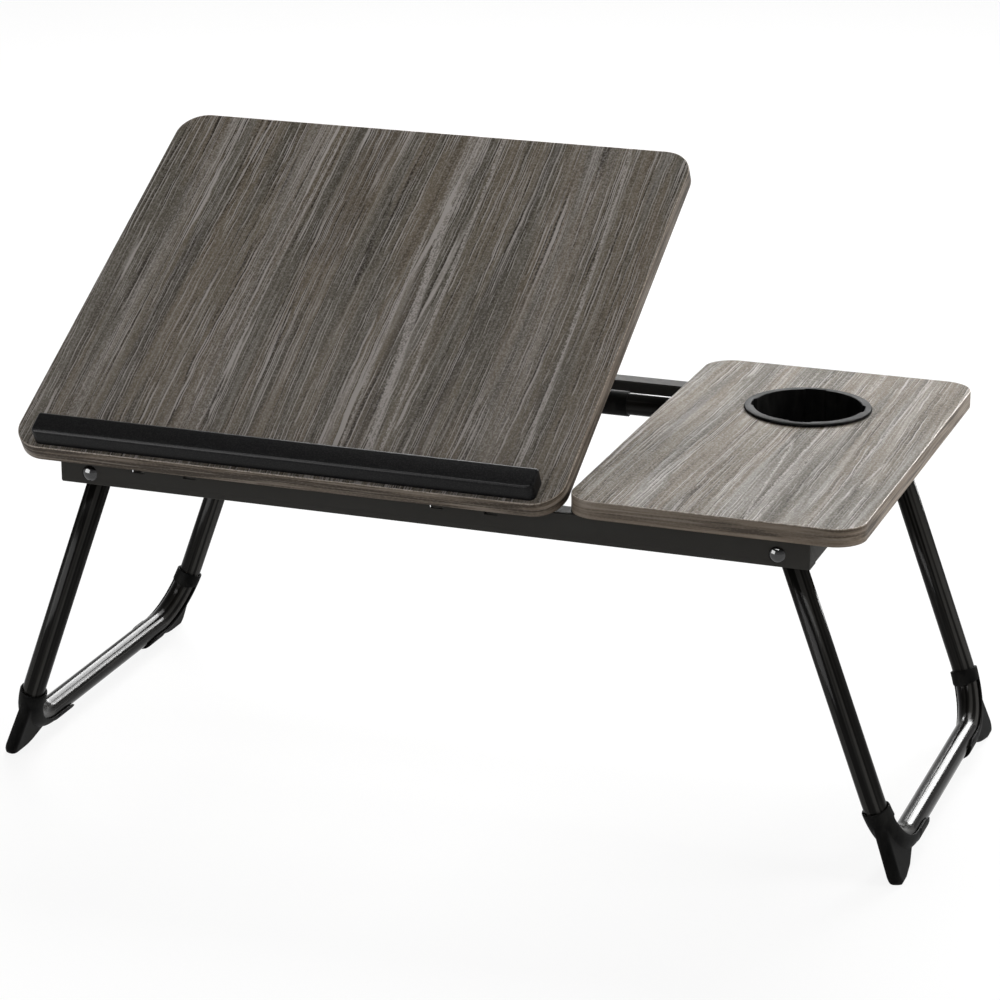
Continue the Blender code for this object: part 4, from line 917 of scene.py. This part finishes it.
# Boots, measured from the rivet as the legs are. The shell wraps the outer half of the bend under a ring.
BOOT_WALL = 0.0015
BOOT_COLLAR_START = 0.1909
BOOT_RING = 0.0090
TROUGH_WALL = 0.0020
TROUGH_END = 0.069
LIP_DIP = 0.0022
FOOT_HALF = 0.0047
FOOT_ROUNDING = 0.0038
FOOT_TOE = 0.0114
FOOT_BELOW_SOLE = 0.0020
HEEL_RISE = 0.0195
HEEL_END = 0.0335


class BEDTABLE_OT_boots(bpy.types.Operator):
    """Moulds the four boots on the legs' bends"""
    bl_idname = "bedtable.boots"
    bl_label = "Boots"

    def execute(self, context):
        sizes, colours = settings(context)
        nylon = moulded_nylon("boot_nylon", colours)
        for side, sign in (("left", 1), ("right", -1)):
            for place, turn in (("front", 1), ("rear", -1)):
                bm = self.boot(sizes, sign, abs(LEG_LEAN[side]), LEG_AXIS[side].z)
                bmesh.ops.scale(bm, vec=(1, turn, 1), verts=bm.verts)
                bmesh.ops.translate(bm, vec=(0, -turn * ARM_HALF_SPREAD, 0), verts=bm.verts)
                outward(bm)
                node = f"{place}_{side}_boot"
                finished(f"{node}_moulding", bm, f"{side}_leg", [nylon], [node], LEG_PLACE[side],
                         sharp=80.0)
        return {"FINISHED"}

    def boot(self, sizes, side, lean, height):
        """A boot with the arm on the Z axis and the cross tube running to +Y."""
        tube = sizes.tube_radius
        sole = height / math.cos(lean)
        outside = tube + FIT + BOOT_WALL
        trough = tube + FIT + TROUGH_WALL
        far = TROUGH_END + 2 * OVERLAP
        wide = 2 * trough
        shell = leg_rod(outside, BOOT_COLLAR_START, TROUGH_END)
        gutter = round_bar((0, LEG_BEND + OVERLAP, -LEG_LENGTH), (0, TROUGH_END, -LEG_LENGTH), trough)
        ring = BOOT_COLLAR_START + BOOT_RING
        low = sole + FOOT_BELOW_SOLE
        fin = extruded([(-FOOT_HALF, y, z) for y, z in (
            (-outside * 0.66, -ring), (-FOOT_TOE, -(sole - 3 * OVERLAP)),
            (-FOOT_TOE * 0.9, -(sole - OVERLAP)), (-FOOT_TOE * 0.6, -low), (HEEL_RISE * 0.3, -low),
            (HEEL_RISE, -(sole - OVERLAP / 2)), (HEEL_END, -(LEG_LENGTH + outside)),
            (HEEL_END, -LEG_LENGTH), (0.0, -(ring + OVERLAP)),
        )], (2 * FOOT_HALF, 0, 0))
        flanks = [e for e in fin.edges if abs(e.verts[0].co.x - e.verts[1].co.x) < 1e-6]
        rounded_edges(fin, flanks, FOOT_ROUNDING, 5)
        bore = leg_rod(tube + FIT, BOOT_COLLAR_START - OVERLAP, far)
        opening = extruded([(-wide, y, z) for y, z in self.opening(ring, outside, far)], (2 * wide, 0, 0))
        bm = carved(shell, [gutter, fin], "UNION")
        bm = carved(bm, [bore, opening])
        floor = Vector((side * math.sin(lean), 0, -math.cos(lean)))
        cut = bmesh.ops.bisect_plane(bm, geom=whole(bm), plane_co=(0, 0, -sole), plane_no=floor, dist=1e-6,
                                     clear_outer=True)["geom_cut"]
        bmesh.ops.edgenet_fill(bm, edges=only(bmesh.types.BMEdge, cut))
        return self.moulded(bm, sizes)

    def opening(self, ring, outside, far):
        """Outline of the opening, from the side: it follows the bend's centre line and dips at the end."""
        corner = LEG_LENGTH - LEG_BEND
        first = math.asin((ring - corner) / LEG_BEND)
        steps = 12
        for step in range(steps + 1):
            angle = first + (QUARTER_TURN - first) * step / steps
            yield LEG_BEND * (1 - math.cos(angle)), -(corner + LEG_BEND * math.sin(angle))
        yield TROUGH_END - 5 * OVERLAP, -LEG_LENGTH
        yield TROUGH_END, -(LEG_LENGTH + LIP_DIP)
        yield far, -(LEG_LENGTH + LIP_DIP)
        yield far, -BOOT_COLLAR_START
        yield 2 * outside, -BOOT_COLLAR_START
        yield 2 * outside, -ring

    def moulded(self, bm, sizes):
        """The same form with the soft edges of a moulding."""
        body = object_of("worker", bm)
        step = body.modifiers.new("even", "REMESH")
        step.mode = "VOXEL"
        step.voxel_size = sizes.boot_grain
        step = body.modifiers.new("soft", "SMOOTH")
        step.factor = 0.5
        step.iterations = 5
        return worn(body)


# The cup: its rim on the board, its straight neck, its floor, and its channels' half width and turn
CUP_RIM = 0.0040
CUP_NECK = 0.0125
CUP_FLOOR = 0.0018
CHANNEL_HALF = math.radians(11.5)
CHANNEL_TURN = math.radians(7.0)


class BEDTABLE_OT_cup(bpy.types.Operator):
    """Turns the cup holder, with its lip and its four upright channels"""
    bl_idname = "bedtable.cup"
    bl_label = "Cup Holder"

    def execute(self, context):
        sizes, colours = settings(context)
        low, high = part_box("cup_holder")
        outer = (high.x - low.x) / 2
        hole = outer - CUP_RIM
        inner = outer - sizes.cup_lip
        top, base, board = high.z, low.z, BOARD_HIGH.z
        lip = top - board - FIT
        profile = [
            (0.0, base), (outer - 0.0095, base), (outer - 0.0080, base + 0.0008),
            (hole, board - CUP_NECK), (hole, board + FIT), (outer - lip * 0.3, board + FIT),
            (outer, board + FIT + lip * 0.35), (outer - lip * 0.25, top - lip * 0.18),
            (outer - lip * 0.7, top),
            (inner + 0.0006, top), (inner + 0.0001, top - 0.0003), (inner, top - 0.0010),
            (inner, top - 0.0040), (inner - 0.0008, board - CUP_NECK),
            (inner - 0.0040, base + 0.0040), (inner - 0.0060, base + 0.0022),
            (inner - 0.0085, base + CUP_FLOOR), (0.0, base + CUP_FLOOR),
        ]
        bm = turned(profile, CUP_SIDES)
        self.channels(bm, inner, sizes.cup_channel, base)
        outward(bm)
        middle = (low + high) / 2
        finished("cup_holder_moulding", bm, "frame", [moulded_nylon("cup_nylon", colours)], ["cup_holder"],
                 Matrix.Translation((middle.x, middle.y, 0.0)), sharp=30.0)
        return {"FINISHED"}

    def channels(self, bm, inner, depth, base):
        """Pushes four stretches of the inner wall and the lip outwards."""
        for vert in bm.verts:
            radius = vert.co.xy.length
            if not (inner - 0.0075 < radius < inner + 0.0007 and vert.co.z > base + CUP_FLOOR + 0.0001):
                continue
            angle = math.atan2(vert.co.y, vert.co.x) - CHANNEL_TURN
            nearest = round(angle / QUARTER_TURN) * QUARTER_TURN
            if abs(angle - nearest) < CHANNEL_HALF:
                vert.co.xy *= (radius + depth) / radius


class BEDTABLE_OT_prop(bpy.types.Operator):
    """Builds the prop: its cross tube, hubs and arms"""
    bl_idname = "bedtable.prop"
    bl_label = "Prop"

    def execute(self, context):
        sizes, colours = settings(context)
        gloss = gloss_tube_paint("prop_gloss_paint", colours)
        nylon = moulded_nylon("hub_nylon", colours)
        paint = pressed_steel_paint("arm_powder_coat", colours)
        low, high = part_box("prop_tube")
        bm = bmesh.new()
        turn = Matrix.Rotation(QUARTER_TURN, 4, "Y")
        bmesh.ops.create_circle(bm, cap_ends=False, segments=TUBE_SIDES, radius=sizes.tube_radius,
                                matrix=Matrix.Translation((low.x, PROP_AXIS.y, PROP_AXIS.z)) @ turn)
        tube_path(bm, list(bm.edges), [("run", Vector((high.x - low.x, 0, 0)))])
        outward(bm)
        marked(bm, lambda at: (at.y - PROP_AXIS.y, at.z - PROP_AXIS.z, at.x))
        walled(finished("prop_cross_tube", bm, "prop", [gloss], ["prop_tube"]))
        for side in ("left", "right"):
            softened_piece(f"{side}_prop_hub", "moulding", HUB_SOFTNESS, "prop", nylon)
            softened_piece(f"{side}_prop_arm", "pressing", PART_SOFTNESS, "prop", paint)
            softened_piece(f"{side}_prop_track", "moulding", PART_SOFTNESS, "tilting_top", nylon)
        finished("prop_tube_cap", softened("prop_tube_plug", PART_SOFTNESS), "prop", [nylon],
                 ["prop_tube_plug"])
        return {"FINISHED"}


# Rivets: the dome's height, and the radii and lengths of the shank and the upset tail
RIVET_DOME = 0.0027
RIVET_SHANK = 0.0030
RIVET_TAIL = 0.0046
RIVET_TAIL_DEPTH = 0.0018


class BEDTABLE_OT_fittings(bpy.types.Operator):
    """Finishes the rivets, hinges, screws, stops and tube holders"""
    bl_idname = "bedtable.fittings"
    bl_label = "Fittings"

    def execute(self, context):
        colours = settings(context)[1]
        nylon = moulded_nylon("fitting_nylon", colours)
        black = gloss_rivet_black("rivet_black", colours)
        zinc = zinc_plate("hinge_zinc", colours)
        for end in ("front", "rear"):
            for side in ("left", "right"):
                node = f"{end}_{side}_leg_rivet"
                finished(f"{node}_head", self.rivet(node, end), "frame", [black], [node], sharp=50.0)
                for kind in ("leg_stop", "pivot_spacer"):
                    softened_piece(f"{end}_{side}_{kind}", "moulding", STOP_SOFTNESS, "frame", nylon)
        for node in ("left_tube_bush", "right_tube_saddle"):
            softened_piece(node, "moulding", PART_SOFTNESS, "frame", nylon)
        for node, thing in frame["nodes"].items():
            if "hinge" in node or "screw" in node:
                softened_piece(node, "plated", PLATE_SOFTNESS, thing["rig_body"], zinc)
        return {"FINISHED"}

    def rivet(self, node, end):
        """A domed rivet, its shank and its upset tail."""
        low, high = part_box(node)
        radius = (high.x - low.x) / 2
        length = high.y - low.y
        profile = [(0.0, 0.0)]
        ball = (radius ** 2 + RIVET_DOME ** 2) / (2 * RIVET_DOME)
        for step in range(1, DOME_STEPS + 1):
            out = radius * step / DOME_STEPS
            profile.append((out, ball - math.sqrt(ball ** 2 - out ** 2)))
        profile += [(RIVET_SHANK, RIVET_DOME), (RIVET_SHANK, length - RIVET_TAIL_DEPTH),
                    (RIVET_TAIL, length - RIVET_TAIL_DEPTH), (0.0044, length - 0.0008), (0.0036, length),
                    (0.0, length)]
        bm = turned(profile, TUBE_SIDES)
        way = -1 if end == "front" else 1
        bmesh.ops.rotate(bm, verts=bm.verts, matrix=Matrix.Rotation(way * QUARTER_TURN, 3, "X"))
        face = low.y if end == "front" else high.y
        bmesh.ops.translate(bm, verts=bm.verts, vec=((low.x + high.x) / 2, face, (low.z + high.z) / 2))
        return bm


# Camera of the photograph, found from its straight edges
CAMERA_PLACE = (0.77963, -2.17967, 0.96851)
CAMERA_AZIMUTH = math.radians(19.75)
CAMERA_DROP = math.radians(18.69)
CAMERA_ROLL = math.radians(0.077)
CAMERA_LENS = 122.73
SENSOR = 36.0

# Studio: name, place, size and power of each softbox, and the rays that it reaches
LAMP_TARGET = Vector((0.0, 0.0, 0.2))
LAMPS = (
    ("back_softbox", (-0.2, 1.95, 2.3), (2.0, 1.2), 84.0, "DIFFUSE GLOSSY"),
    ("side_softbox", (2.4, 0.3, 1.1), (1.2, 1.2), 30.0, "DIFFUSE"),
    ("back_strip", (-0.2, 2.3, 1.32), (2.3, 0.62), 116.0, "GLOSSY"),
    ("back_card", (0.72, 2.3, 0.98), (0.72, 0.30), 25.0, "GLOSSY"),
    ("front_strip", (-0.4, -1.40, 2.05), (2.4, 0.45), 44.0, "GLOSSY"),
    ("window_box", (-0.9, -1.1, 0.55), (1.2, 0.8), 30.0, "GLOSSY"),
)

# Strength of the world at its horizon and overhead, and between which heights it falls
HORIZON = 0.6
CEILING = 0.20
HORIZON_END = 0.15
CEILING_START = 0.6

# The floor: radius, how white it is when seen, and how far it is lifted to that
FLOOR_RADIUS = 24.0
FLOOR_SIDES = 96
FLOOR_WHITE = 1.05
FLOOR_LIFT = 0.84


class BEDTABLE_OT_stage(bpy.types.Operator):
    """Sets the floor, the soft light and the camera"""
    bl_idname = "bedtable.stage"
    bl_label = "Stage"

    def execute(self, context):
        scene = context.scene
        bm = bmesh.new()
        bmesh.ops.create_circle(bm, cap_ends=True, segments=FLOOR_SIDES, radius=FLOOR_RADIUS)
        floor = object_of("studio_floor", bm)
        floor.data.materials.append(self.floor_finish(settings(context)[1]))
        self.world(scene)
        for name, place, size, power, reach in LAMPS:
            lamp = bpy.data.lights.new(name, "AREA")
            lamp.shape = "RECTANGLE"
            lamp.size, lamp.size_y = size
            lamp.energy = power
            made = bpy.data.objects.new(name, lamp)
            made.location = place
            made.rotation_euler = (LAMP_TARGET - Vector(place)).to_track_quat("-Z", "Y").to_euler()
            made.visible_camera = False
            made.visible_diffuse = "DIFFUSE" in reach
            made.visible_glossy = "GLOSSY" in reach
            scene.collection.objects.link(made)
        lens = bpy.data.cameras.new("view")
        lens.lens = CAMERA_LENS
        lens.sensor_width = SENSOR
        lens.clip_start, lens.clip_end = 0.1, 50.0
        camera = bpy.data.objects.new("view", lens)
        turn = Matrix.Rotation(CAMERA_AZIMUTH, 4, "Z") @ Matrix.Rotation(QUARTER_TURN - CAMERA_DROP, 4, "X")
        turn = turn @ Matrix.Rotation(CAMERA_ROLL, 4, "Z")
        camera.matrix_world = Matrix.Translation(CAMERA_PLACE) @ turn
        scene.collection.objects.link(camera)
        scene.camera = camera
        scene.view_settings.view_transform = "Standard"
        return {"FINISHED"}

    def floor_finish(self, colours):
        """Pale painted floor. Seen directly or in gloss it is lifted towards white, and keeps a faint
        shadow."""
        material, shader, here = new_material("painted_floor")
        tree = material.node_tree
        mottle = add_node("MapRange", even_noise(here, 0.3, 2.0), *MOST_NOISE, 0.0, 0.02, **SMOOTH)[0]
        colour = add_node("Mix", mottle, colours.floor, colours.foil_pale, data_type="RGBA")[2]
        tree.links.new(colour, shader.inputs["Base Color"])
        shader.inputs["Roughness"].default_value = 0.9
        path = add_node("LightPath", tree=tree)
        seen = chained("ADD", path["Is Camera Ray"], path["Is Glossy Ray"], path["Is Transmission Ray"])
        seen = add_node("Math", seen, 1.0, operation="MINIMUM")[0]
        lift = add_node("Math", seen, FLOOR_LIFT, operation="MULTIPLY")[0]
        white = add_node("Emission", WHITE, FLOOR_WHITE, tree=tree)[0]
        lifted = add_node("MixShader", lift, shader.outputs[0], white)[0]
        tree.links.new(lifted, tree.nodes["Material Output"].inputs["Surface"])
        return material

    def world(self, scene):
        """A white horizon under a darker ceiling."""
        world = bpy.data.worlds.new("studio")
        world.use_nodes = True
        tree = world.node_tree
        tree.nodes.clear()
        rise = add_node("SeparateXYZ", add_node("TexCoord", tree=tree)["Generated"])[2]
        strength = add_node("MapRange", rise, HORIZON_END, CEILING_START, HORIZON, CEILING, **SMOOTH)[0]
        add_node("OutputWorld", add_node("Background", WHITE, strength)[0])
        scene.world = world


class BEDTABLE_PT_panel(bpy.types.Panel):
    """Lists the pieces with their sizes and colours"""
    bl_label = "Bed Table"
    bl_idname = "BEDTABLE_PT_panel"
    bl_space_type = "VIEW_3D"
    bl_region_type = "UI"
    bl_category = "Bed Table"

    def draw(self, context):
        for group in (context.scene.bed_table_sizes, context.scene.bed_table_colours):
            box = self.layout.box()
            for name in group.__annotations__:
                box.prop(group, name)
        for step in STEPS:
            self.layout.operator(step.bl_idname)


STEPS = (
    BEDTABLE_OT_boards, BEDTABLE_OT_stop_bar, BEDTABLE_OT_rails, BEDTABLE_OT_legs, BEDTABLE_OT_boots,
    BEDTABLE_OT_cup, BEDTABLE_OT_prop, BEDTABLE_OT_fittings, BEDTABLE_OT_stage,
)
CLASSES = (BedTableSizes, BedTableColours, *STEPS, BEDTABLE_PT_panel)


def register():
    for made in CLASSES:
        bpy.utils.register_class(made)
    bpy.types.Scene.bed_table_sizes = bpy.props.PointerProperty(type=BedTableSizes)
    bpy.types.Scene.bed_table_colours = bpy.props.PointerProperty(type=BedTableColours)


def unregister():
    del bpy.types.Scene.bed_table_colours
    del bpy.types.Scene.bed_table_sizes
    for made in reversed(CLASSES):
        bpy.utils.unregister_class(made)


def main():
    register()
    bpy.ops.bedtable.boards()
    bpy.ops.bedtable.stop_bar()
    bpy.ops.bedtable.rails()
    bpy.ops.bedtable.legs()
    bpy.ops.bedtable.boots()
    bpy.ops.bedtable.cup()
    bpy.ops.bedtable.prop()
    bpy.ops.bedtable.fittings()
    bpy.ops.bedtable.stage()


if __name__ == "__main__":
    main()
